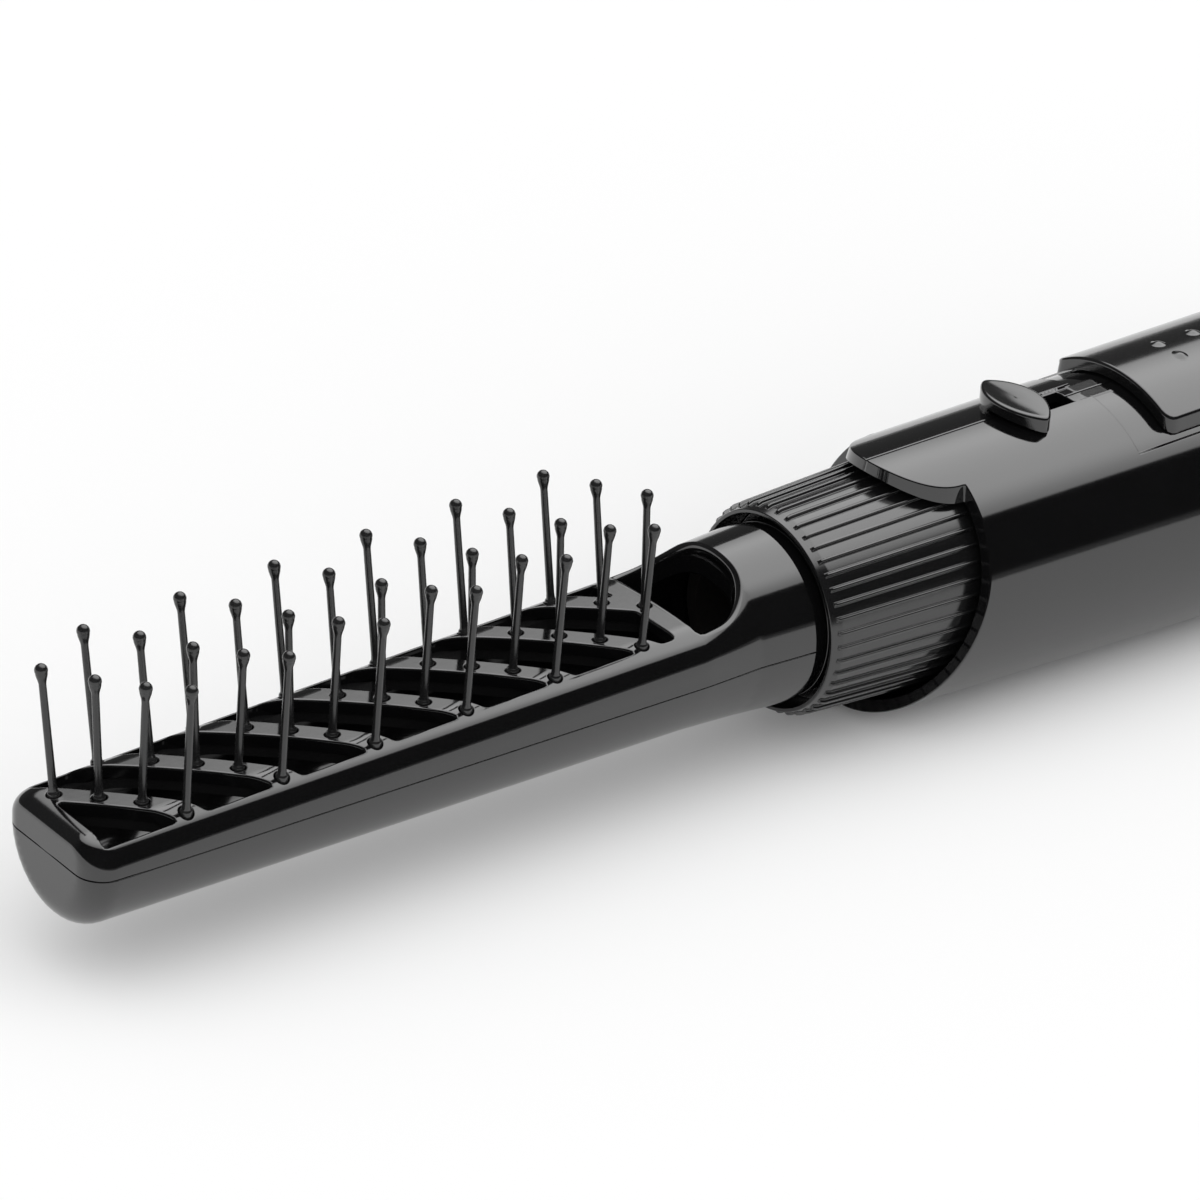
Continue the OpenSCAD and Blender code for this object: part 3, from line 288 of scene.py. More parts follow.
def ring_part(corners, radii, a0=0.0, a1=2 * math.pi, count=96, steps=4):
    """A turned solid from a closed outline of (place along X, radius). Less than a whole turn gets flat ends."""
    whole = abs(a1 - a0 - 2 * math.pi) < 1e-9
    prof, nrm = rounded(corners, radii, steps)
    p, n = turned(prof, facing_out(prof, nrm), np.linspace(a0, a1, count, endpoint=not whole))
    parts = [grid_part(p, n, wrap_rows=True, wrap_cols=whole)]
    for a, sign in () if whole else ((a0, -1.0), (a1, 1.0)):
        points = columns(prof[:, 0], prof[:, 1] * math.sin(a), prof[:, 1] * math.cos(a))
        parts.append(flat_end(prof, points, (0.0, sign * math.cos(a), -sign * math.sin(a))))
    return parts


def block(lo, hi, r=0.25):
    """A box with softened edges: a coarse ball of radius r whose eighths are pulled out to the box's corners."""
    lo, hi = np.array(lo, float), np.array(hi, float)
    mid, half = (lo + hi) / 2, (hi - lo) / 2
    t = np.linspace(-math.pi / 2, math.pi / 2, 9)
    a = np.linspace(0, 2 * math.pi, 24, endpoint=False) + math.pi / 24
    n = columns(np.cos(t)[:, None] * np.cos(a), np.cos(t)[:, None] * np.sin(a), np.sin(t)[:, None])
    p = mid + np.sign(n) * (half - r) + r * n
    return [grid_part(p, n, wrap_cols=True), disc(p[0], (0, 0, -1)), disc(p[-1], (0, 0, 1))]


def resample(line, step, closed=True):
    """Points at even steps along a polyline."""
    line = np.asarray(line, float)
    if closed:
        line = np.vstack([line, line[:1]])
    along = np.concatenate([[0], np.cumsum(np.linalg.norm(np.diff(line, axis=0), axis=1))])
    n = max(3, int(round(along[-1] / step)))
    at = np.linspace(0, along[-1], n, endpoint=False) if closed else np.linspace(0, along[-1], n + 1)
    return columns(*(np.interp(at, along, line[:, k]) for k in range(2)))


def by_sides(corners, step):
    """Points along each side of an open polyline, its corners kept and its last point left out."""
    return np.concatenate([resample(corners[i : i + 2], step, closed=False)[:-1] for i in range(len(corners) - 1)])


def soften(line, reach, step, closed=True):
    """Rounds a line's corners: each point becomes the mean of the line over a length of reach, twice."""
    fine = resample(line, step / 4, closed)
    w = max(1, int(round(reach / (step / 4) / 2)))
    for _ in range(2):
        if closed:
            ext = np.vstack([fine[-w:], fine, fine[:w]])
        else:
            ext = np.vstack([2 * fine[0] - fine[w:0:-1], fine, 2 * fine[-1] - fine[-2 : -w - 2 : -1]])
        total = np.cumsum(np.vstack([np.zeros((1, 2)), ext]), axis=0)
        fine = (total[2 * w + 1 :] - total[: -2 * w - 1]) / (2 * w + 1)
    return resample(fine, step, closed)


def inside(points, loop):
    """Which points lie inside a closed loop, by counting the edges to their right."""
    x, y = points[:, 0:1], points[:, 1:2]
    x0, y0 = loop[:, 0], loop[:, 1]
    x1, y1 = np.roll(x0, -1), np.roll(y0, -1)
    cross = (y0 <= y) != (y1 <= y)
    dy = np.where(y1 == y0, 1e-12, y1 - y0)
    at = x0 + (y - y0) * (x1 - x0) / dy
    return (np.sum(cross & (x < at), axis=1) % 2) == 1


def surface_frame(surf, plan, sign, h=0.02):
    """Point, two edge directions and unit normal of surf(a, b) at plan points, by central differences."""
    a, b = plan[:, 0], plan[:, 1]
    ea = (surf(a + h, b) - surf(a - h, b)) / (2 * h)
    eb = (surf(a, b + h) - surf(a, b - h)) / (2 * h)
    return surf(a, b), ea, eb, unit(np.cross(ea, eb) * sign)


def nearest(points, others):
    """The distance in plan from each point to the nearest of the others."""
    return np.min(np.hypot(points[:, None, 0] - others[None, :, 0], points[:, None, 1] - others[None, :, 1]), axis=1)


def fill(outer, holes, extra, margin):
    """Triangles between an outer loop and hole loops in plan, with extra points kept margin away from them."""
    loops = [outer] + holes
    keep = inside(extra, outer)
    for loop in loops:
        keep &= nearest(extra, loop) > margin
    for loop in holes:
        keep &= ~inside(extra, loop)
    points = np.concatenate(loops + [extra[keep]])
    edges, start = [], 0
    for loop in loops:
        m = len(loop)
        edges += [(start + i, start + (i + 1) % m) for i in range(m)]
        start += m
    out = delaunay_2d_cdt([Vector((float(x), float(y))) for x, y in points], edges, [], 1, 1e-6)
    first = np.array([o[0] if o else -1 for o in out[3]])
    tris = first[np.array([list(f) for f in out[2]], int)]
    mid = points[tris].mean(1)
    good = (tris.min(1) >= 0) & inside(mid, outer)
    for loop in holes:
        good &= ~inside(mid, loop)
    return points, tris[good]


def skin(surf, sign, thick, outer, holes, spacing, extra=None, base=None):
    """A wall of even thickness over surf(a, b), with rounded edges at its rim and openings.

    outer and holes are (loop in plan, loop of the inner side in plan, edge radius). A rim point steps from the skin
    through a quarter circle, rim + (1 - sin t) * inward - (1 - cos t) * radius * normal, down to the inner side,
    which is base - thick * normal, base being surf unless another surface is given.
    """
    base = base or surf
    depth = thick if callable(thick) else (lambda p: np.full(len(p), float(thick)))
    tops, rims = [], []
    for k, (loop, under, radius) in enumerate([outer] + holes):
        p, ea, eb, n = surface_frame(surf, loop, sign)
        along = np.roll(p, -1, axis=0) - np.roll(p, 1, axis=0)
        m = unit(np.cross(n, along))
        m *= (1.0 if area(loop) * sign > 0 else -1.0) * (1.0 if k == 0 else -1.0)
        g11, g12, g22 = (ea * ea).sum(1), (ea * eb).sum(1), (eb * eb).sum(1)
        f1, f2 = (m * ea).sum(1), (m * eb).sum(1)
        det = np.maximum(g11 * g22 - g12 * g12, 1e-9)
        step = columns((g22 * f1 - g12 * f2) / det, (g11 * f2 - g12 * f1) / det) * radius
        size = np.linalg.norm(step, axis=1, keepdims=True)
        step *= np.minimum(1.0, 2.0 * radius / np.maximum(size, 1e-9))
        top = loop + step
        tops.append(top)
        rims.append((p, n, surf(top[:, 0], top[:, 1]), under, along))
    lo, hi = outer[0].min(0), outer[0].max(0)
    da, db = spacing
    a, b = np.meshgrid(np.arange(lo[0] + da / 2, hi[0], da), np.arange(lo[1] + db / 2, hi[1], db), indexing="ij")
    a = a + (np.arange(a.shape[1]) % 2) * da / 2
    seeds = columns(a.ravel(), b.ravel())
    coarse = seeds[::3]
    if extra is not None:
        seeds = np.concatenate([seeds[nearest(seeds, extra) > 0.4 * min(da, db)], extra])
    plan, tris = fill(tops[0], tops[1:], seeds, 0.35 * min(da, db))
    p, _, _, n = surface_frame(surf, plan, sign)
    parts = [turned_out(p, tris, n[tris])]
    plan_in, tris_in = fill(rims[0][3], [r[3] for r in rims[1:]], coarse, 0.35 * min(da, db))
    q, _, _, nq = surface_frame(base, plan_in, sign)
    q = q - depth(plan_in)[:, None] * nq
    parts.append(turned_out(q, tris_in, -nq[tris_in]))
    t = np.linspace(0, math.pi / 2, 5)[:, None, None]
    for p, n, p0, under, along in rims:
        inward = p0 - p
        size = np.linalg.norm(inward, axis=1, keepdims=True)
        away = -inward / np.maximum(size, 1e-9)
        rows = p + (1 - np.sin(t)) * inward - (1 - np.cos(t)) * size * n
        rows[0] = p0
        u, _, _, nu = surface_frame(base, under, sign)
        foot = u - depth(under)[:, None] * nu
        wall = unit(np.cross(along, foot - p))
        wall *= np.sign((wall * away).sum(1, keepdims=True))
        normals = np.cos(t) * n + np.sin(t) * wall
        rows = np.concatenate([rows, foot[None]])
        normals = np.concatenate([normals, normals[-1:]])
        parts.append(grid_part(rows, normals, wrap_cols=True))
    return parts


# Forms of the styler


def half_w(x):
    """Half width of the brush body: straight from the tip's to the neck's."""
    return TIP_HALF_W + (NECK_HALF_W - TIP_HALF_W) * (x - TIP_X) / (NECK_X - TIP_X)


def plate_h(x):
    """Height of the pin plate: straight from the tip's to the neck's."""
    return PLATE_TIP_H + (PLATE_NECK_H - PLATE_TIP_H) * (x - TIP_X) / (NECK_X - TIP_X)


def shoulder_drop(x, y):
    """Depth of the rounded shoulder below the plate: R - sqrt(R^2 - d^2), d the way past the plate's flat part."""
    d = np.clip(np.abs(y) - half_w(x) + SHOULDER_R, 0, SHOULDER_R)
    return SHOULDER_R - np.sqrt(SHOULDER_R**2 - d**2)


def rib_offset(y, r=RIB_R):
    """Place along the head of a circle of radius r about the rib's centre, at a sideways place y."""
    c = RIB_R * math.cos(math.pi / 4)
    return np.sqrt(r**2 - (y + c) ** 2) - c


def handle_r(x):
    """Handle radius: a straight taper, then a long arc tangent to it."""
    mid_x = TAPER_END + ARC_R * HANDLE_TAPER
    mid_r = HANDLE_R + HANDLE_TAPER * TAPER_END + ARC_R * (1 - math.sqrt(1 - HANDLE_TAPER**2))
    arc = mid_r - ARC_R + np.sqrt(ARC_R**2 - (x - mid_x) ** 2)
    return np.where(x < TAPER_END, HANDLE_R + HANDLE_TAPER * x, arc)


def tip_roll(a):
    """Place along X, inset and shrink of the section at a: a quarter circle round the tip, then the end face."""
    turn = np.clip(-a / TIP_ROUND, 0, math.pi / 2)
    x = ROW0 + np.where(a > 0, a, -TIP_ROUND * np.sin(turn))
    shrink = np.clip(1 + (a + TIP_ROUND * math.pi / 2) / FACE, 0.003, 1)
    return x, TIP_ROUND * (1 - np.cos(turn)), shrink


def to_neck(x, y, z, b, q, part, up):
    """A section's points blended into the neck's circle, up being 1 for the upper half and -1 for the lower one.

    The circle's share s goes from 0 at the plate's end to 1 at the neck's middle. Its point is r (sin, cos) of q
    times the angle from the middle to the parting line.
    """
    s = np.clip((x - NECK_X) / (NECK_MID_X - NECK_X), 0, 1)
    r = np.interp(x, [NECK_MID_X, NECK_END_X], [NECK_R - NECK_NARROWER, NECK_R])
    angle = q * (math.pi / 2 + up * np.arcsin(-part / r))
    y = (1 - s) * y + s * r * np.sin(angle)
    z = (1 - s) * z + up * s * r * np.cos(angle)
    return columns(x, y * np.sign(b), z)


def brush_top(a, b):
    """Upper side of the head, a being the way along it and b the way across.

    A section is a flat, a shoulder arc and a side line down to the parting line. It shrinks towards that line at the
    tip's end face, and is blended into a circle at the neck.
    """
    x, inset, shrink = tip_roll(a)
    q = np.abs(b) / TOP_SPAN
    w = half_w(np.minimum(x, NECK_X))
    part = PARTING_H + PARTING_SLOPE * x + PARTING_GAP / 2
    cy = w - SHOULDER_R
    cz = plate_h(np.minimum(x, NECK_X)) - SHOULDER_R + TIP_SINK * inset
    r = SHOULDER_R - inset
    most = np.arccos(np.clip((part - cz) / np.maximum(r, 1e-6), 0, 1))
    low = cz + r * np.cos(most)
    split = 1 - SIDE_SHARE * np.clip((low - part) / SIDE_FULL, 0, 1)
    turn = np.clip((q - FLAT_SHARE) / (split - FLAT_SHARE), 0, 1) * most
    y = np.where(q < FLAT_SHARE, cy * q / FLAT_SHARE, cy + r * np.sin(turn))
    z = cz + r * np.cos(turn) + (part - low) * np.clip((q - split) / np.maximum(1 - split, 0.01), 0, None)
    return to_neck(x, y * shrink, part + (z - part) * shrink, b, q, part, 1)


def brush_low(a, b):
    """Lower side of the head: a circle's arc up to the parting line, shrunk and blended as the upper side."""
    x, inset, shrink = tip_roll(a)
    q = np.abs(b) / LOW_SPAN
    w = half_w(np.minimum(x, NECK_X))
    part = PARTING_H + PARTING_SLOPE * x - PARTING_GAP / 2
    cz = w - BODY_DEPTH
    r = w - inset
    most = np.arccos(np.clip((cz - part) / r, 0, 1))
    y, z = r * np.sin(q * most), cz - r * np.cos(q * most)
    return to_neck(x, y * shrink, part + (z - part) * shrink, b, q, part, -1)


def across(x, y, inner=0.0):
    """The b at which the upper side, or what lies inner mm below it, is y from the middle at x, by halving."""
    a, want = x - ROW0, np.abs(y)
    lo, hi = np.zeros(len(x)), np.full(len(x), 0.95 * TOP_SPAN)
    for _ in range(26):
        mid = (lo + hi) / 2
        if inner:
            p, _, _, n = surface_frame(brush_top, columns(a, mid), 1.0)
            at = (p - inner * n)[:, 1]
        else:
            at = brush_top(a, mid)[:, 1]
        lo, hi = np.where(at < want, mid, lo), np.where(at < want, hi, mid)
    return (lo + hi) / 2 * np.sign(y)


def plan_hole(outline, radius):
    """An opening cut straight down through the pin plate, as loops of the outer and inner side."""
    x, y = outline[:, 0], outline[:, 1]
    return (columns(x - ROW0, across(x, y)), columns(x - ROW0, across(x, y, SHELL_WALL)), radius)


def head_openings():
    """Slots between the ribs and the round outlet, each as (outline in plan, edge radius)."""
    y = np.linspace(-SLOT_HALF_W, SLOT_HALF_W, 120)
    out = []
    for k in range(-1, RIB_COUNT):
        low, high = np.full(len(y), SLOT_FRONT_X), np.full(len(y), BAR_FRONT_X)
        if k < RIB_COUNT - 1:
            low = np.maximum(low, LAST_RIB_X - (k + 1) * RIB_PITCH + rib_offset(y, RIB_R + RIB_W / 2))
        if k >= 0:
            high = np.minimum(high, LAST_RIB_X - k * RIB_PITCH + rib_offset(y, RIB_R - RIB_W / 2))
        ok = high - low > SLOT_LEAST
        if ok.any():
            loop = np.concatenate([columns(low[ok], y[ok]), columns(high[ok], y[ok])[::-1]])
            out.append((soften(loop, SLOT_ROUND, 0.45), SLOT_EDGE))
    t = np.linspace(0, math.pi / 2, 12)
    r = OUTLET_HALF_W * 0.6
    x1 = OUTLET_X + OUTLET_LEN
    side = columns(x1 - r + r * np.cos(t), OUTLET_HALF_W - r + r * np.sin(t))
    loop = np.concatenate([side, [[OUTLET_X, OUTLET_HALF_W], [OUTLET_X, -OUTLET_HALF_W]], (side * [1, -1])[::-1]])
    out.append((soften(loop, OUTLET_ROUND, 0.45), OUTLET_EDGE))
    return out


def outlet_skirt(outline):
    """A band that carries the outlet's wall further down inside, as a five-sided section all round the outline."""
    x, y = outline[:, 0], outline[:, 1]
    z = brush_top(x - ROW0, across(x, y))[:, 2]
    run = np.roll(outline, -1, axis=0) - np.roll(outline, 1, axis=0)
    out = unit(columns(run[:, 1], -run[:, 0]))
    out *= np.sign(np.sum((outline - outline.mean(0)) * out))
    section = ((0.02, 1.8), (0.02, 4.6), (0.32, 4.9), (1.2, 4.9), (1.2, 1.8))
    rings = [np.column_stack([outline + offset * out, z - drop]) for offset, drop in section]
    flat, up = np.column_stack([out, 0 * x]), np.tile([0.0, 0.0, 1.0], (len(x), 1))
    parts = []
    for i, n in enumerate((-flat, -flat - up, -up, flat, up)):
        parts.append(grid_part(np.stack([rings[i], rings[(i + 1) % 5]]), np.stack([n, n]), wrap_cols=True))
    return parts


def pin_places():
    """Foot of every pin on the plate, with its sideways lean and height: the columns crossed with the ribs."""
    rows = []
    for k in range(RIB_COUNT):
        for y, lean, high in PIN_COLUMNS:
            x = LAST_RIB_X - k * RIB_PITCH + float(rib_offset(y))
            if SLOT_FRONT_X < x < NECK_X - 0.5:
                rows.append((x, y, float(plate_h(x) - shoulder_drop(x, np.array(y))), lean, high))
    return np.array(rows)


def head_rim(span):
    """The rim of one side of the head: along both parting lines, across the tip's end face and at the collar."""
    end = NECK_END_X - ROW0
    tip, turn, straight = np.arange(START, -7.1, 0.35), np.arange(-7.05, 0, 0.45), np.arange(0.3, end, 0.9)
    a = np.concatenate([tip, turn, straight, [end]])
    b = np.linspace(-span, span, 60)[1:-1]
    sides = ((a, -span), (end, b), (a[::-1], span), (a[0], b[::-1]))
    return np.concatenate([columns(*side) for side in sides])


def half_angles(upper):
    """From parting line to parting line behind the neck, over the top or round the bottom."""
    dip = math.asin(SEAM_DIP / NECK_R)
    if upper:
        return -math.pi / 2 - dip + SEAM_TURN, math.pi / 2 + dip - SEAM_TURN
    return math.pi / 2 + dip, 1.5 * math.pi - dip


def make_brush_shells():
    """Both brush shells with the bead and tube that fit in the collar."""
    openings = head_openings()
    holes = [plan_hole(loop, r) for loop, r in openings]
    t = np.linspace(0, 2 * math.pi, 22, endpoint=False)
    for x, y, _, _, _ in pin_places():
        circle = columns(x + PIN_HOLE_R * np.cos(t), y + PIN_HOLE_R * np.sin(t))
        holes.append(plan_hole(circle, PIN_HOLE_EDGE))
    b = np.arange(-TOP_SPAN + 0.4, TOP_SPAN, 0.75)
    crease = columns(NECK_X - ROW0, b)
    rim = head_rim(TOP_SPAN)
    top = skin(brush_top, 1.0, SHELL_WALL, (rim, rim, RIM_EDGE), holes, (0.9, 0.75), extra=crease)
    rim = head_rim(LOW_SPAN)
    low = skin(brush_low, -1.0, SHELL_WALL, (rim, rim, RIM_EDGE), [], (1.4, 1.2))
    x0, x1, r1 = NECK_END_X - 2.5, NECK_END_X - 0.4, NECK_R - 0.4
    bead = [(x0, 12.2), (x1, r1), (-1.0, r1), (-1.0, 13.0), (12.0, 13.0), (12.0, 11.7), (x0, 11.7)]
    radii = [0.1, 0.2, 0.5, 0.2, 0.3, 0.3, 0.1]
    top += ring_part(bead, radii, *half_angles(True), 72) + outlet_skirt(openings[-1][0])
    low += ring_part(bead, radii, *half_angles(False), 72)
    build("brush_upper_shell", top, "brush_black", "brush_head", "brush_top_shell")
    build("brush_lower_shell", low, "brush_black", "brush_head", "brush_base_shell")


def make_pins():
    """All pins as one mesh with the rails that carry them.

    A pin is its outline carried round its leaning axis: foot collar, tapering shaft, and a drop-shaped tip whose
    radius grows smoothly from the shaft's to the ball's.
    """
    rows = pin_places()
    t = np.linspace(0, 2 * math.pi, 20, endpoint=False)
    ball, start = PIN_BALL_R, -0.35
    up = np.linspace(0, 1, 9)
    neck = PIN_R * 0.92 + (ball * 0.93 - PIN_R * 0.92) * (3 * up**2 - 2 * up**3)
    cap = np.linspace(start, math.pi / 2, 9)
    foot = [(-3.2, 0.0), (-3.2, PIN_FOOT_R * 0.9), (-0.5, PIN_FOOT_R), (0.12, PIN_FOOT_R)]
    foot += [(0.32, PIN_FOOT_R * 0.93), (0.47, PIN_FOOT_R * 0.8), (0.6, PIN_R * 1.12), (1.4, PIN_R * 1.02)]
    outlines = []
    for high in rows[:, 4]:
        rise = high - ball * 3.3 + up * (ball * 3.3 - ball * (1 + math.sin(-start)))
        waist = [((1.4 + rise[0]) / 2, PIN_R * 0.97)]
        top = columns(high - ball + ball * np.sin(cap), ball * np.cos(cap))
        outlines.append(np.concatenate([foot, waist, columns(rise, neck), top]))
    prof = np.array(outlines)
    lean, fwd = np.radians(rows[:, 3]), math.radians(PIN_LEAN)
    axis = columns(-np.sin(fwd), np.sin(lean) * np.cos(fwd), np.cos(lean) * np.cos(fwd))
    side = unit(np.cross(np.array([0.0, 1.0, 0.0]), axis))
    other = np.cross(axis, side)
    ring = np.cos(t)[None, :, None] * side[:, None] + np.sin(t)[None, :, None] * other[:, None]
    along, out = prof[:, :, None, 0:1], prof[:, :, None, 1:2]
    p = rows[:, None, None, :3] + along * axis[:, None, None] + out * ring[:, None]
    run = np.gradient(prof[:, :, 0], axis=1)
    slope = np.gradient(prof[:, :, 1], axis=1) / np.where(np.abs(run) < 1e-6, 1e-6, run)
    n = ring[:, None] - np.clip(slope, -8, 8)[:, :, None, None] * axis[:, None, None]
    n[:, 0] = -axis[:, None]
    n[:, -1] = axis[:, None]
    parts = [grid_part(p[i], n[i], wrap_cols=True) for i in range(len(rows))]
    y = np.linspace(-9.6, 9.6, 40)
    for k in range(RIB_COUNT):
        x = LAST_RIB_X - k * RIB_PITCH + rib_offset(y)
        ok = (x > SLOT_FRONT_X - 0.5) & (x < NECK_X - 1.2)
        if ok.sum() > 3:
            parts += rail(columns(x[ok], y[ok]), RAIL_W)
    for s in (-1, 1):
        x = np.linspace(SLOT_FRONT_X + 2, NECK_X - 1.5, 60)
        parts += rail(columns(x, s * SIDE_RAIL_Y), SIDE_RAIL_W)
    build("brush_pin_set", parts, "pin_black", "brush_head", "brush_pins")


def rail(path, width):
    """A flat bar under the pin plate: a box section carried along a path in plan."""
    d = unit(np.gradient(path, axis=0))
    left = columns(-d[:, 1], d[:, 0]) * width / 2
    z = plate_h(path[:, 0]) - shoulder_drop(path[:, 0], path[:, 1]) - SHELL_WALL - RAIL_GAP
    section = ((1, 0), (1, -RAIL_T), (-1, -RAIL_T), (-1, 0))
    rows = [np.column_stack([path + s * left, z + dz]) for s, dz in section]
    sides = []
    for i in range(4):
        pair = np.stack([rows[i], rows[(i + 1) % 4]])
        out = pair.mean(0) - np.mean(rows, axis=0)
        sides.append(grid_part(pair, np.broadcast_to(out, pair.shape).copy()))
    for e in (0, -1):
        sides.append(disc(np.array([r[e] for r in rows]), np.append(d[e] * (1 if e else -1), 0.0)))
    return sides


def make_collar():
    """The grip collar: a turned outline whose outer skin rises in ridges along it.

    Ridge height is RIDGE_H times a flat-topped bump across each ridge, exp(-(d / (W/2))^6), times a steep ramp
    at both ends of the grip.
    """
    end_r = COLLAR_R + COLLAR_TAPER * COLLAR_LEN
    bore, lip_r = end_r - SKIRT_WALL, COLLAR_R - 1.15
    front, rear = [-1.1, -1.0, -0.92, -0.84, -0.76, -0.65, -0.3, 0.0], [29.6, 29.9, 30.1, 30.3, 30.5]
    x_out = np.concatenate([front, np.linspace(2, 28.5, 8), rear])
    base_r = lambda x: COLLAR_R + np.where(x < 0, LIP_SLOPE, COLLAR_TAPER) * x
    lip = [(-LIP_LEN, lip_r), (-LIP_LEN, COLLAR_R - 0.55)]
    inner = [(COLLAR_LEN, end_r), (COLLAR_LEN, bore), (9, bore), (9, ROOT_R), (12, ROOT_R), (12, ROOT_BORE)]
    inner += [(-0.9, ROOT_BORE), (-0.9, BEAD_R), (4, BEAD_R), (4, lip_r)]
    corners = lip + [(x, float(base_r(x))) for x in x_out] + inner
    radii = [0.1, 0.25, 0.0] + [0.0] * (len(x_out) - 1) + [0.35, 0.3] + [0.2] * (len(inner) - 2)
    prof, nrm = rounded(corners, radii, 3)
    flank = np.array([0.07, 0.11, 0.135, 0.16, 0.2])
    over_ridge = np.concatenate([-flank[::-1], [0], flank, [0.35, 0.5, 0.65]])
    t = (np.arange(RIDGES)[:, None] + over_ridge).ravel() * 2 * math.pi / RIDGES
    p, n = turned(prof, facing_out(prof, nrm), t)
    pitch = 2 * math.pi / RIDGES
    bump = lambda ang, r: np.exp(-(((ang + pitch / 2) % pitch - pitch / 2) * r / (RIDGE_W / 2)) ** 6)
    ramp = lambda x: np.sqrt(np.clip((x - GRIP_START) / 0.3, 0, 1)) * np.sqrt(np.clip((GRIP_END - x) / 0.4, 0, 1))
    on_skin = prof[:, 1] >= base_r(prof[:, 0]) - 0.02
    on_skin &= (prof[:, 0] > GRIP_START - 0.05) & (prof[:, 0] < GRIP_END + 0.05)
    xs, rs = prof[on_skin, 0][:, None], prof[on_skin, 1][:, None]
    r = rs + RIDGE_H * bump(t[None, :], rs) * ramp(xs)
    d_t = (bump(t[None, :] + 1e-4, rs) - bump(t[None, :] - 1e-4, rs)) / 2e-4 * RIDGE_H * ramp(xs)
    d_x = (ramp(xs + 0.01) - ramp(xs - 0.01)) / 0.02 * RIDGE_H * bump(t[None, :], rs)
    d_x = d_x + np.where(xs < 0, LIP_SLOPE, COLLAR_TAPER)
    s, c = np.sin(t)[None, :], np.cos(t)[None, :]
    p[on_skin] = columns(xs, r * s, r * c)
    slope = d_t / r
    n[on_skin] = columns(-d_x, s - slope * c, c + slope * s)
    part = grid_part(p, n, wrap_rows=True, wrap_cols=True)
    build("ribbed_collar", [part], "grip_black", "brush_head", "grip_collar")


def recess_depth(x, y):
    """Depth of the switch cover's shallow recess and the slider's track, each edge a smooth step 3d^2 - 2d^3."""
    out = 0
    for x0, x1, half in (COVER_ROOM, TRACK):
        d = np.clip(np.minimum(np.minimum(x - x0, x1 - x), half - np.abs(y)) / RECESS_RUN + 0.5, 0, 1)
        out = np.maximum(out, RECESS * d * d * (3 - 2 * d))
    return out


def housing_surf(side, sunk=True):
    """The handle's skin unrolled: b / UNROLL is the angle from the top, and the flat that it rests on cuts it off.

    If sunk, it has the recess and the flat pad in it.
    """

    def surf(a, b):
        ang = b / UNROLL
        r = handle_r(a)
        if sunk:
            level = np.sqrt((r - PAD_SINK) ** 2 - PAD[2] ** 2) / np.maximum(np.cos(ang), 0.3)
            y = r * np.sin(ang)
            raised = np.clip(np.minimum(np.minimum(a - PAD[0], PAD[1] - a), PAD[2] - np.abs(y)) / 0.3 + 0.5, 0, 1)
            r = r - np.where(np.cos(ang) > 0.3, recess_depth(a, y), 0)
            r = np.where(np.cos(ang) > 0.3, r + (level - r) * raised, r)
        y, z = r * np.sin(ang), r * np.cos(ang)
        k = np.where(z < -REST_H, REST_H / np.maximum(-z, 1e-9), 1.0)
        return columns(a, side * y * k, z * k)

    return surf


def housing_wall(plan):
    """Wall thickness: 2.2, and less where the room for the collar is turned out."""
    r = handle_r(plan[:, 0])
    return np.where(plan[:, 0] < COLLAR_ROOM_END, r - np.maximum(COLLAR_ROOM_R, r - WALL), WALL)


def edge_x(z):
    """Place of the scooped side edge at height z: from the side, a circle of radius EDGE_R through p and q."""
    p, q = np.array([TONGUE_ROOT_X, EDGE_ROOT_Z]), np.array([EDGE_LOW_X, -HANDLE_R])
    d = np.linalg.norm(q - p)
    m = (p + q) / 2 + math.sqrt(EDGE_R**2 - d**2 / 4) * np.array([-abs(q[1] - p[1]), abs(q[0] - p[0])]) / d
    return m[0] + np.sqrt(EDGE_R**2 - (z - m[1]) ** 2)


def edge_under(edge):
    """Inner side of the front edge: the tongue's wall leans out a little, the scooped edge goes straight across."""
    x, ang = edge[:, 0], edge[:, 1] / UNROLL
    r = handle_r(x)
    inner = r - housing_wall(edge)
    cusp = int(np.argmin(np.abs(r * np.sin(ang) - TONGUE_HALF_W) + np.abs(x - TONGUE_ROOT_X) * 0.2))
    spread = 1 + TONGUE_DRAFT / TONGUE_HALF_W
    first = math.asin(TONGUE_HALF_W * spread / inner[cusp])
    deep = float(edge_x(inner[cusp] * math.cos(first)))
    k = np.arange(len(edge))
    on_tongue = k <= cusp
    draw = np.clip((x - LEAN_X) / (x[cusp] - LEAN_X), 0, 1) * (deep - x[cusp])
    ang_t = np.arcsin(np.clip(r * np.sin(ang), 0, TONGUE_HALF_W) * spread / inner)
    mid = TONGUE_TIP + TONGUE_HALF_W
    x_t = np.where(x < mid, mid + (x - mid) * spread, x) + draw
    ang_s = first + (ang - ang[cusp]) * (ang[-1] - first) / (ang[-1] - ang[cusp])
    x_s = x
    for _ in range(4):
        x_s = edge_x((handle_r(x_s) - WALL) * np.cos(ang_s))
    return columns(np.where(on_tongue, x_t, x_s), np.where(on_tongue, ang_t, ang_s) * UNROLL)


def screw_hole(place, height):
    """The hole over a sunk screw in the right half, cut straight across, as loops of the outer and inner side."""
    u = np.linspace(0, 2 * math.pi, 28, endpoint=False)
    x, z = place + SCREW_HOLE_R * np.cos(u), height + SCREW_HOLE_R * np.sin(u)
    loops = [np.arccos(np.clip(z / (handle_r(x) - wall), -1, 1)) * UNROLL for wall in (0, WALL)]
    return (*(columns(x, b) for b in loops), 0.3)


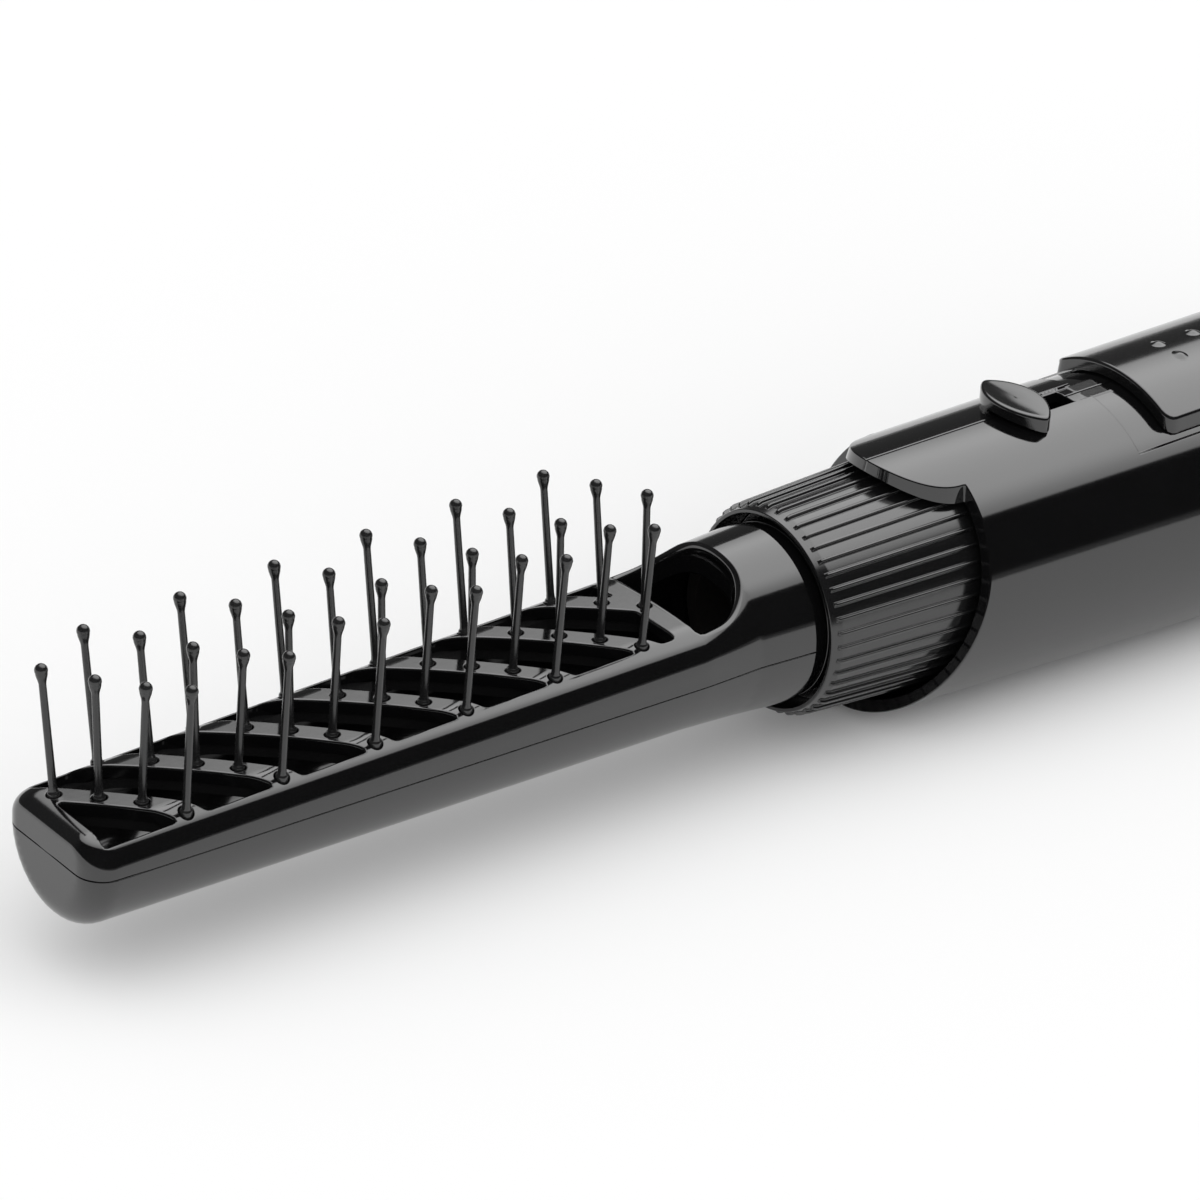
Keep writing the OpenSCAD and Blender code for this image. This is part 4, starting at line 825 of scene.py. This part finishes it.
def crease_lines():
    """Points along the edges of recess, track and pad, and along the edge of the flat that the handle rests on."""
    lines = []
    for x0, x1, half in CREASES:
        x = np.arange(x0 - 0.24, x1 + 0.25, 0.4)
        b = np.arange(0.3, math.asin((half + 0.3) / 22) * UNROLL, 0.4)
        for off in CREASE_ROWS:
            lines.append(columns(x, np.arcsin((half + off) / handle_r(x)) * UNROLL))
            lines += [columns(end + off, b) for end in (x0, x1)]
    x = np.arange(TAPER_END - 33, HOUSING_LEN - 24, 0.8)
    x = x[handle_r(x) > REST_H + 0.01]
    lines.append(columns(x, (math.pi - np.arccos(REST_H / handle_r(x))) * UNROLL))
    return np.concatenate(lines)


def make_housing():
    """Both housing halves: the skin with its tongue and scooped edge, screw bosses and the carrier rings inside."""
    top, low, rear = PARTING_GAP / 2, math.pi * UNROLL - PARTING_GAP / 2, HOUSING_LEN
    t = np.linspace(math.pi, math.pi / 2, 24)
    tongue_x, tongue_y = TONGUE_TIP + TONGUE_HALF_W + TONGUE_HALF_W * np.cos(t), TONGUE_HALF_W * np.sin(t)
    tongue_b = np.arcsin(tongue_y / handle_r(tongue_x)) * UNROLL
    ang = np.linspace(math.asin(TONGUE_HALF_W / float(handle_r(TONGUE_ROOT_X))), math.pi, 90)
    x = np.full(90, 27.0)
    for _ in range(6):
        x = edge_x(handle_r(x) * np.cos(ang))
    edge = np.concatenate([columns(tongue_x, tongue_b), columns(x, ang * UNROLL)])
    edge = soften(edge, 0.3, 0.4, closed=False)
    edge[0, 1], edge[-1, 1] = top, low
    seam = [[rear, top]]
    for x0, x1, half in SEAM_NOTCHES:
        seam += [[x1, top], [x1, half], [x0, half], [x0, top]]
    rim = np.concatenate([
        edge[:-1],
        by_sides([[edge[-1, 0], low], [rear, low]], 1.6),
        by_sides([[rear, low], [rear, top]], 1.3),
        by_sides(np.array(seam + [list(edge[0])]), 0.8),
    ])
    under = np.concatenate([edge_under(edge)[:-1], rim[len(edge) - 1 :]])
    lines = crease_lines()
    halves = ((-1.0, "housing_left_half", "housing_left"), (1.0, "housing_right_half", "housing_right"))
    for side, name, node in halves:
        holes = [screw_hole(sx, sz) for sx, sz, _ in SCREWS] if side > 0 else []
        plain = housing_surf(side, sunk=False)
        rims = (rim, under, 0.25)
        parts = skin(housing_surf(side), side, housing_wall, rims, holes, (1.5, 1.2), lines, plain)
        a0 = SEAM_TURN if side > 0 else math.pi + SEAM_TURN
        a1 = math.pi - SEAM_TURN if side > 0 else 2 * math.pi - SEAM_TURN
        for x0, r0 in RINGS:
            x1, r1 = x0 + RING_T, min(float(handle_r(x0)), REST_H) - RING_INSET
            parts += ring_part([(x0, r0), (x1, r0), (x1, r1), (x0, r1)], 0.12, a0, a1, 60, 2)
        parts += screw_posts(side)
        build(name, parts, "housing_black", "handle", node)


def screw_posts(side):
    """Tubes round the screws, across the handle: narrow on the left, wide round the sunk head on the right."""
    parts = []
    for sx, sz, sy in SCREWS:
        reach = math.sqrt(float(handle_r(sx)) ** 2 - (abs(sz) - 1) ** 2) - 2.0
        if side > 0:
            outline = [(0.1, POST_BORE), (sy - 0.1, POST_BORE), (sy - 0.1, HEAD_BORE), (reach, HEAD_BORE)]
            outline += [(reach, HEAD_R), (sy - 1.4, HEAD_R), (sy - 1.6, POST_R), (0.1, POST_R)]
        else:
            outline = [(-reach, 0.3), (-reach, POST_R), (-0.1, POST_R), (-0.1, POST_BORE)]
            outline += [(1.2 - reach, POST_BORE), (1.2 - reach, 0.3)]
        for p, tris, n in ring_part(outline, 0.1, count=32, steps=2):
            q = columns(p[:, 1] + sx, p[:, 0], p[:, 2] + sz)
            room = (handle_r(q[:, 0]) - POST_CLEAR) / np.hypot(q[:, 1], q[:, 2])
            q[:, 1:] *= np.minimum(room, 1.0)[:, None]
            q[:, 2] = np.maximum(q[:, 2], POST_CLEAR - REST_H)
            m = columns(n[..., 1], n[..., 0], n[..., 2])
            parts.append(turned_out(q, tris, m))
    return parts


def make_switch_cover():
    """The thumb cover: a rounded patch of a slightly larger handle skin, its post, rod and fork, and six low dots.

    A dot is H (1 - cos(pi g)) / 2 high at g of the way from its edge to its middle.
    """
    lift = COVER_T - COVER_SUNK

    def surf(a, b):
        ang = b / UNROLL
        r = handle_r(a) + lift
        return columns(a, r * np.sin(ang), r * np.cos(ang))

    x0, x1 = COVER_X, COVER_X + COVER_LEN
    corners = [(x0, -COVER_HALF_W), (x1, -COVER_HALF_W), (x1, COVER_HALF_W), (x0, COVER_HALF_W)]
    outline, _ = rounded(corners, COVER_ROUND, 8)
    outline = resample(outline, 0.8)
    b = np.arcsin(outline[:, 1] / (handle_r(outline[:, 0]) + lift)) * UNROLL
    rim = columns(outline[:, 0], b)
    b_in = np.arcsin(outline[:, 1] / (handle_r(outline[:, 0]) + lift - COVER_T)) * UNROLL
    parts = skin(surf, 1.0, COVER_T, (rim, columns(outline[:, 0], b_in), COVER_EDGE), [], (1.2, 1.0))
    t = np.linspace(0, 2 * math.pi, 32, endpoint=False)
    g = np.linspace(0, 1, 11)
    for k in range(3):
        for s in (-1, 1):
            x, y = DOT_X + DOT_PITCH * k, s * DOT_Y
            r = float(handle_r(x)) + lift
            base = np.array([x, y, math.sqrt(r * r - y * y)])
            up = np.array([0.0, y, base[2]]) / r
            side = np.array([1.0, 0.0, 0.0])
            other = np.cross(up, side)
            ring = np.cos(t)[:, None] * side + np.sin(t)[:, None] * other
            rr = DOT_R * np.concatenate([[1.0], 1 - g])[:, None, None]
            hh = np.concatenate([[-0.8], DOT_H * (0.5 - 0.5 * np.cos(math.pi * g)) - 0.06])[:, None, None]
            p = base + rr * ring + hh * up
            lean = np.concatenate([[0.0], DOT_H / DOT_R * math.pi / 2 * np.sin(math.pi * g)])[:, None, None]
            n = np.where(np.arange(len(rr))[:, None, None] == 0, ring, up + lean * ring)
            parts += [grid_part(p, n, wrap_cols=True), disc(p[0], -up)]
    for low, high in COVER_INSIDE:
        parts += block(low, high)
    build("thumb_switch", parts, "button_black", "power_switch", "switch_cover")


def make_lock_button():
    """The lens button: rings of a lens outline, up its side, over a rounded rim and in to a shallow dished top.

    The top is y^2 / BUTTON_BEND lower at its ends and tilts BUTTON_TILT y to the near side.
    """
    r = (BUTTON_HALF_L**2 + BUTTON_HALF_W**2) / (2 * BUTTON_HALF_W)
    most = math.asin(BUTTON_HALF_L / r)
    t = np.linspace(-most, most, 40)
    right = columns(BUTTON_HALF_W - r + r * np.cos(t), r * np.sin(t))
    loop = soften(np.concatenate([right[:-1], -right[:-1]]), BUTTON_SOFT, 0.3)
    rim, under, top = BUTTON_RIM, BUTTON_UNDER_R, BUTTON_UNDER_R + BUTTON_H
    f = np.linspace(0, math.pi / 2, 6)
    rows = [(0.0, under)] + [(rim * (1 - math.cos(v)), top - rim + rim * math.sin(v)) for v in f]
    for d in (0.8, 1.1, 1.5, 2.0, 2.6, 3.3, 4.0):
        rows.append((d, top - BUTTON_DISH * (1 - math.exp(-(((d - rim) / 1.6) ** 2)))))
    grid = []
    for d, rad in rows:
        k = 1 - d / BUTTON_HALF_W
        ky = 1 - min(d, 1.4) / BUTTON_HALF_L * 1.1
        if d > 1.4:
            ky = ky * (BUTTON_HALF_W - d) / (BUTTON_HALF_W - 1.4)
        x, y = loop[:, 0] * k, loop[:, 1] * ky
        z = np.sqrt(under**2 - y**2) if rad == under else rad - y**2 / BUTTON_BEND + BUTTON_TILT * y
        grid.append(columns(BUTTON_X + x, y, z))
    grid.append(np.broadcast_to(grid[-1].mean(0), grid[-1].shape))
    p = np.array(grid)
    du, dv = np.gradient(p, axis=0), (np.roll(p, -1, 1) - np.roll(p, 1, 1))
    n = np.cross(dv, du)
    out = p - np.array([BUTTON_X, 0, 0])
    n *= np.sign((n * (out * [1, 0.2, 0.2])).sum(-1, keepdims=True))
    side = np.cross(dv[0], np.array([0, 0, 1.0]))
    n[0] = n[1] = side * np.sign((side * out[0]).sum(-1, keepdims=True))
    n[-1] = np.array([0, 0, 1.0])
    parts = [grid_part(p, n, wrap_cols=True), disc(p[0], (0, 0, -1))]
    parts += block(*BUTTON_POST)
    prof, nrm = rounded(FOOT_OUTLINE, 0.12, 2)
    nrm = facing_out(prof, nrm)
    flank = lambda v, y: columns(v[:, 0], y, v[:, 1])
    band = [flank(prof, y) for y in (-FOOT_HALF_W, FOOT_HALF_W)]
    parts += [flat_end(prof, band[0], (0, -1, 0)), flat_end(prof, band[1], (0, 1, 0))]
    parts.append(grid_part(np.array(band), np.stack([flank(nrm, 0)] * 2), wrap_cols=True))
    build("lens_slider", parts, "button_black", "head_lock", "lock_slider")


def make_lock_spring():
    """The coil round the lock pin, which the pin's head presses shorter as it drops.

    The wire's middle is at (R cos a, R sin a) round the pin and rises evenly with a. Its sections are circles, and a
    section of no size closes each end.
    """
    low, high = (corner[2] * 1000 - REST_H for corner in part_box("lock_spring"))
    a = np.linspace(0, 2 * math.pi * SPRING_TURNS, 81)
    rise = (high - low - 2 * SPRING_WIRE_R) / a[-1]
    a = np.concatenate([a[:1], a, a[-1:]])
    size = np.where((np.arange(len(a)) == 0) | (np.arange(len(a)) == len(a) - 1), 0.0, SPRING_WIRE_R)[:, None, None]
    out = columns(np.cos(a), np.sin(a), 0)[:, None]
    ahead = unit(columns(-SPRING_R * np.sin(a), SPRING_R * np.cos(a), rise))[:, None]
    turn = np.linspace(0, 2 * math.pi, 10, endpoint=False)[None, :, None]
    n = np.cos(turn) * out + np.sin(turn) * np.cross(ahead, out)
    middle = SPRING_R * out + np.array([LOCK_X, 0, low + SPRING_WIRE_R]) + (rise * a)[:, None, None] * [0, 0, 1]
    n_ends = n.copy()
    n_ends[0], n_ends[-1] = -ahead[0], ahead[-1]
    part = grid_part(middle + size * n, n_ends, wrap_cols=True)
    spring = build("pin_spring", [part], "steel", "handle", "lock_spring")
    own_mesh(spring)


# Finishes


def add_node(tree, kind, inputs, **settings):
    """The outputs of a new shader node, whose inputs and settings are given by name."""
    new = tree.nodes.new(kind)
    for key, value in settings.items():
        setattr(new, key, value)
    plug_in(tree, new, inputs)
    return new.outputs


def plug_in(tree, shader, inputs):
    """Sets a node's inputs: a constant on the socket itself, or a link from another node's output."""
    for key, value in inputs.items():
        if isinstance(value, bpy.types.NodeSocket):
            tree.links.new(value, shader.inputs[key])
        else:
            shader.inputs[key].default_value = value


def finish(name, colour, rough, metal=0.0, ior=1.5, bump=0.02, tone=0.1, scale=900.0):
    """A procedural finish: fine grain in colour, roughness and height from noise on Object coordinates."""
    mat = bpy.data.materials.new(name)
    mat.use_nodes = True
    tree = mat.node_tree
    place = add_node(tree, "ShaderNodeTexCoord", {})["Object"]
    fine = add_node(tree, "ShaderNodeTexNoise", {"Vector": place, "Scale": scale, "Detail": 4.0})["Fac"]
    wide = add_node(tree, "ShaderNodeTexNoise", {"Vector": place, "Scale": scale / 12, "Detail": 3.0})["Fac"]
    ramp = tree.nodes.new("ShaderNodeValToRGB")
    for element, at, share in zip(ramp.color_ramp.elements, (0.35, 0.65), (1 - tone, 1 + tone)):
        element.position, element.color = at, (*(min(1.0, c * share) for c in colour), 1)
    plug_in(tree, ramp, {"Fac": wide})
    spread = add_node(tree, "ShaderNodeMapRange", {"Value": fine, "To Min": rough * 0.85, "To Max": rough * 1.15})
    height = add_node(tree, "ShaderNodeBump", {"Height": fine, "Strength": bump, "Distance": 0.0004})
    looks = {"Metallic": metal, "IOR": ior, "Base Color": ramp.outputs["Color"]}
    looks |= {"Roughness": spread["Result"], "Normal": height["Normal"]}
    plug_in(tree, tree.nodes["Principled BSDF"], looks)
    return mat


FINISH = {
    "brush_black": finish("gloss_black_moulding", (0.0028, 0.0028, 0.003), 0.09, ior=1.75, bump=0.004),
    "pin_black": finish("satin_black_nylon", (0.008, 0.008, 0.0082), 0.22, ior=1.62, bump=0.008),
    "grip_black": finish("satin_black_grip", (0.0036, 0.0036, 0.0038), 0.16, ior=1.75, bump=0.004),
    "housing_black": finish("gloss_black_housing", (0.0028, 0.0028, 0.003), 0.08, ior=1.75, bump=0.004),
    "button_black": finish("gloss_black_button", (0.004, 0.004, 0.0042), 0.12, ior=1.75, bump=0.004),
    "heat_resin": finish("heat_resistant_resin", (0.022, 0.02, 0.019), 0.42, bump=0.15, tone=0.2),
    "steel": finish("bright_steel", (0.55, 0.55, 0.56), 0.28, metal=1.0, bump=0.05),
    "resistance_wire": finish("resistance_wire", (0.32, 0.29, 0.26), 0.42, metal=1.0, bump=0.1, tone=0.25),
    "mica": finish("pressed_mica", (0.55, 0.48, 0.34), 0.5, bump=0.3, tone=0.25, scale=500),
    "motor_core": finish("motor_laminations", (0.26, 0.12, 0.06), 0.4, metal=0.6, bump=0.2, tone=0.3),
    "magnet": finish("ferrite_magnet", (0.07, 0.07, 0.075), 0.6, bump=0.3),
    "white_nylon": finish("white_nylon", (0.72, 0.71, 0.67), 0.35, bump=0.05, tone=0.04),
    "board_green": finish("board_lacquer", (0.03, 0.14, 0.05), 0.3, bump=0.1, tone=0.25, scale=300),
    "component_black": finish("black_component", (0.02, 0.02, 0.022), 0.4, bump=0.1),
    "ceramic_white": finish("ceramic_white", (0.68, 0.66, 0.6), 0.3, bump=0.1, tone=0.06),
    "filter_grey": finish("filter_mesh_grey", (0.07, 0.07, 0.072), 0.5, bump=0.4, tone=0.3, scale=1500),
    "gland_black": finish("soft_black_gland", (0.016, 0.016, 0.017), 0.45, bump=0.25, tone=0.2),
}


def dress_frame():
    """Every carried-over node takes the finish of its material slot in the record."""
    for part in frame["record"]["subparts"]:
        materials = frame["nodes"][part["node"]].data.materials
        materials.clear()
        materials.append(FINISH[part["material_slot"]])


# Stage, light and camera


def make_floor():
    """A pale floor under the object."""
    s = FLOOR_HALF
    me = bpy.data.meshes.new("floor")
    me.from_pydata([(-s, -s, 0), (s, -s, 0), (s, s, 0), (-s, s, 0)], [], [(0, 1, 2, 3)])
    floor = bpy.data.objects.new("floor", me)
    bpy.context.scene.collection.objects.link(floor)
    mat = bpy.data.materials.new("pale_floor")
    mat.use_nodes = True
    looks = {"Base Color": (FLOOR_TONE, FLOOR_TONE, FLOOR_TONE, 1), "Roughness": 1.0, "IOR": 1.0}
    plug_in(mat.node_tree, mat.node_tree.nodes["Principled BSDF"], looks)
    me.materials.append(mat)


def make_world():
    """A world that is white to the camera, a round soft box overhead in reflections, and a soft dome to all else."""
    world = bpy.data.worlds.new("soft_studio")
    bpy.context.scene.world = world
    world.use_nodes = True
    tree = world.node_tree
    tree.nodes.clear()
    ray = add_node(tree, "ShaderNodeTexCoord", {})["Generated"]
    x, y, z = add_node(tree, "ShaderNodeSeparateXYZ", {0: ray}).values()

    def combine(op, a, b):
        return add_node(tree, "ShaderNodeMath", {0: a, 1: b}, operation=op)[0]

    def smooth(value, low, high):
        ends = {"Value": value, "From Min": low, "From Max": high}
        return add_node(tree, "ShaderNodeMapRange", ends, interpolation_type="SMOOTHSTEP")[0]

    def along(direction):
        """The dot product of the ray's direction with a fixed one."""
        terms = [combine("MULTIPLY", v, d) for v, d in zip((x, y, z), direction)]
        return combine("ADD", combine("ADD", terms[0], terms[1]), terms[2])

    def lamp(strength):
        return add_node(tree, "ShaderNodeBackground", {"Color": (1, 1, 1, 1), "Strength": strength})[0]

    near = along(SOFTBOX)
    middle = combine("MULTIPLY", smooth(near, WINDOW_EDGE, WINDOW_MID), BOX_LEVEL - EDGE_LEVEL)
    lit = combine("ADD", middle, EDGE_LEVEL)
    glow = combine("MULTIPLY", smooth(y, *FAR_RISE), FAR_LEVEL)
    haze = combine("MULTIPLY", smooth(z, *HAZE_FADE), HAZE_LEVEL)
    unlit = combine("ADD", combine("ADD", glow, haze), DARK_LEVEL)
    inside_box = smooth(near, WINDOW_EDGE - WINDOW_SOFT, WINDOW_EDGE + WINDOW_SOFT)
    box = combine("ADD", combine("MULTIPLY", inside_box, lit), unlit)
    dome = combine("MULTIPLY", smooth(along(KEY_SIDE), *DOME_RISE), DOME_SIDE)
    dome = combine("ADD", dome, DOME_LEVEL)
    path = add_node(tree, "ShaderNodeLightPath", {})
    seen = add_node(tree, "ShaderNodeMixShader", {0: path["Is Glossy Ray"], 1: lamp(dome), 2: lamp(box)})[0]
    surface = add_node(tree, "ShaderNodeMixShader", {0: path["Is Camera Ray"], 1: seen, 2: lamp(1.0)})[0]
    add_node(tree, "ShaderNodeOutputWorld", {"Surface": surface})


def make_camera():
    """The photograph's view: 147.5 mm lens on a 36 mm sensor, from the front left and above, rolled a little."""
    cp, sp, up = math.cos(PITCH), math.sin(PITCH), np.array([0, 0, 1])
    right = np.array([math.cos(YAW), -math.sin(YAW), 0])
    ahead = np.array([math.sin(YAW), math.cos(YAW), 0])
    look = cp * ahead - sp * up
    down = -(sp * ahead + cp * up)
    cr, sr = math.cos(ROLL), math.sin(ROLL)
    px, py = cr * right + sr * down, -sr * right + cr * down
    data = bpy.data.cameras.new("camera")
    data.sensor_width, data.lens = SENSOR, FOCAL_PX / PHOTO_PX * SENSOR
    data.clip_start, data.clip_end = 0.01, 30
    cam = bpy.data.objects.new("camera", data)
    bpy.context.scene.collection.objects.link(cam)
    m = Matrix((list(px), list(-py), list(-look))).transposed().to_4x4()
    m.translation = Vector((np.array(CAMERA_PLACE) + SHIFT) * 0.001)
    cam.matrix_world = m
    bpy.context.scene.camera = cam


make_camera()
dress_frame()
make_brush_shells()
make_pins()
make_collar()
make_housing()
make_switch_cover()
make_lock_button()
make_lock_spring()
make_floor()
make_world()
bpy.context.scene.view_settings.view_transform = "Standard"
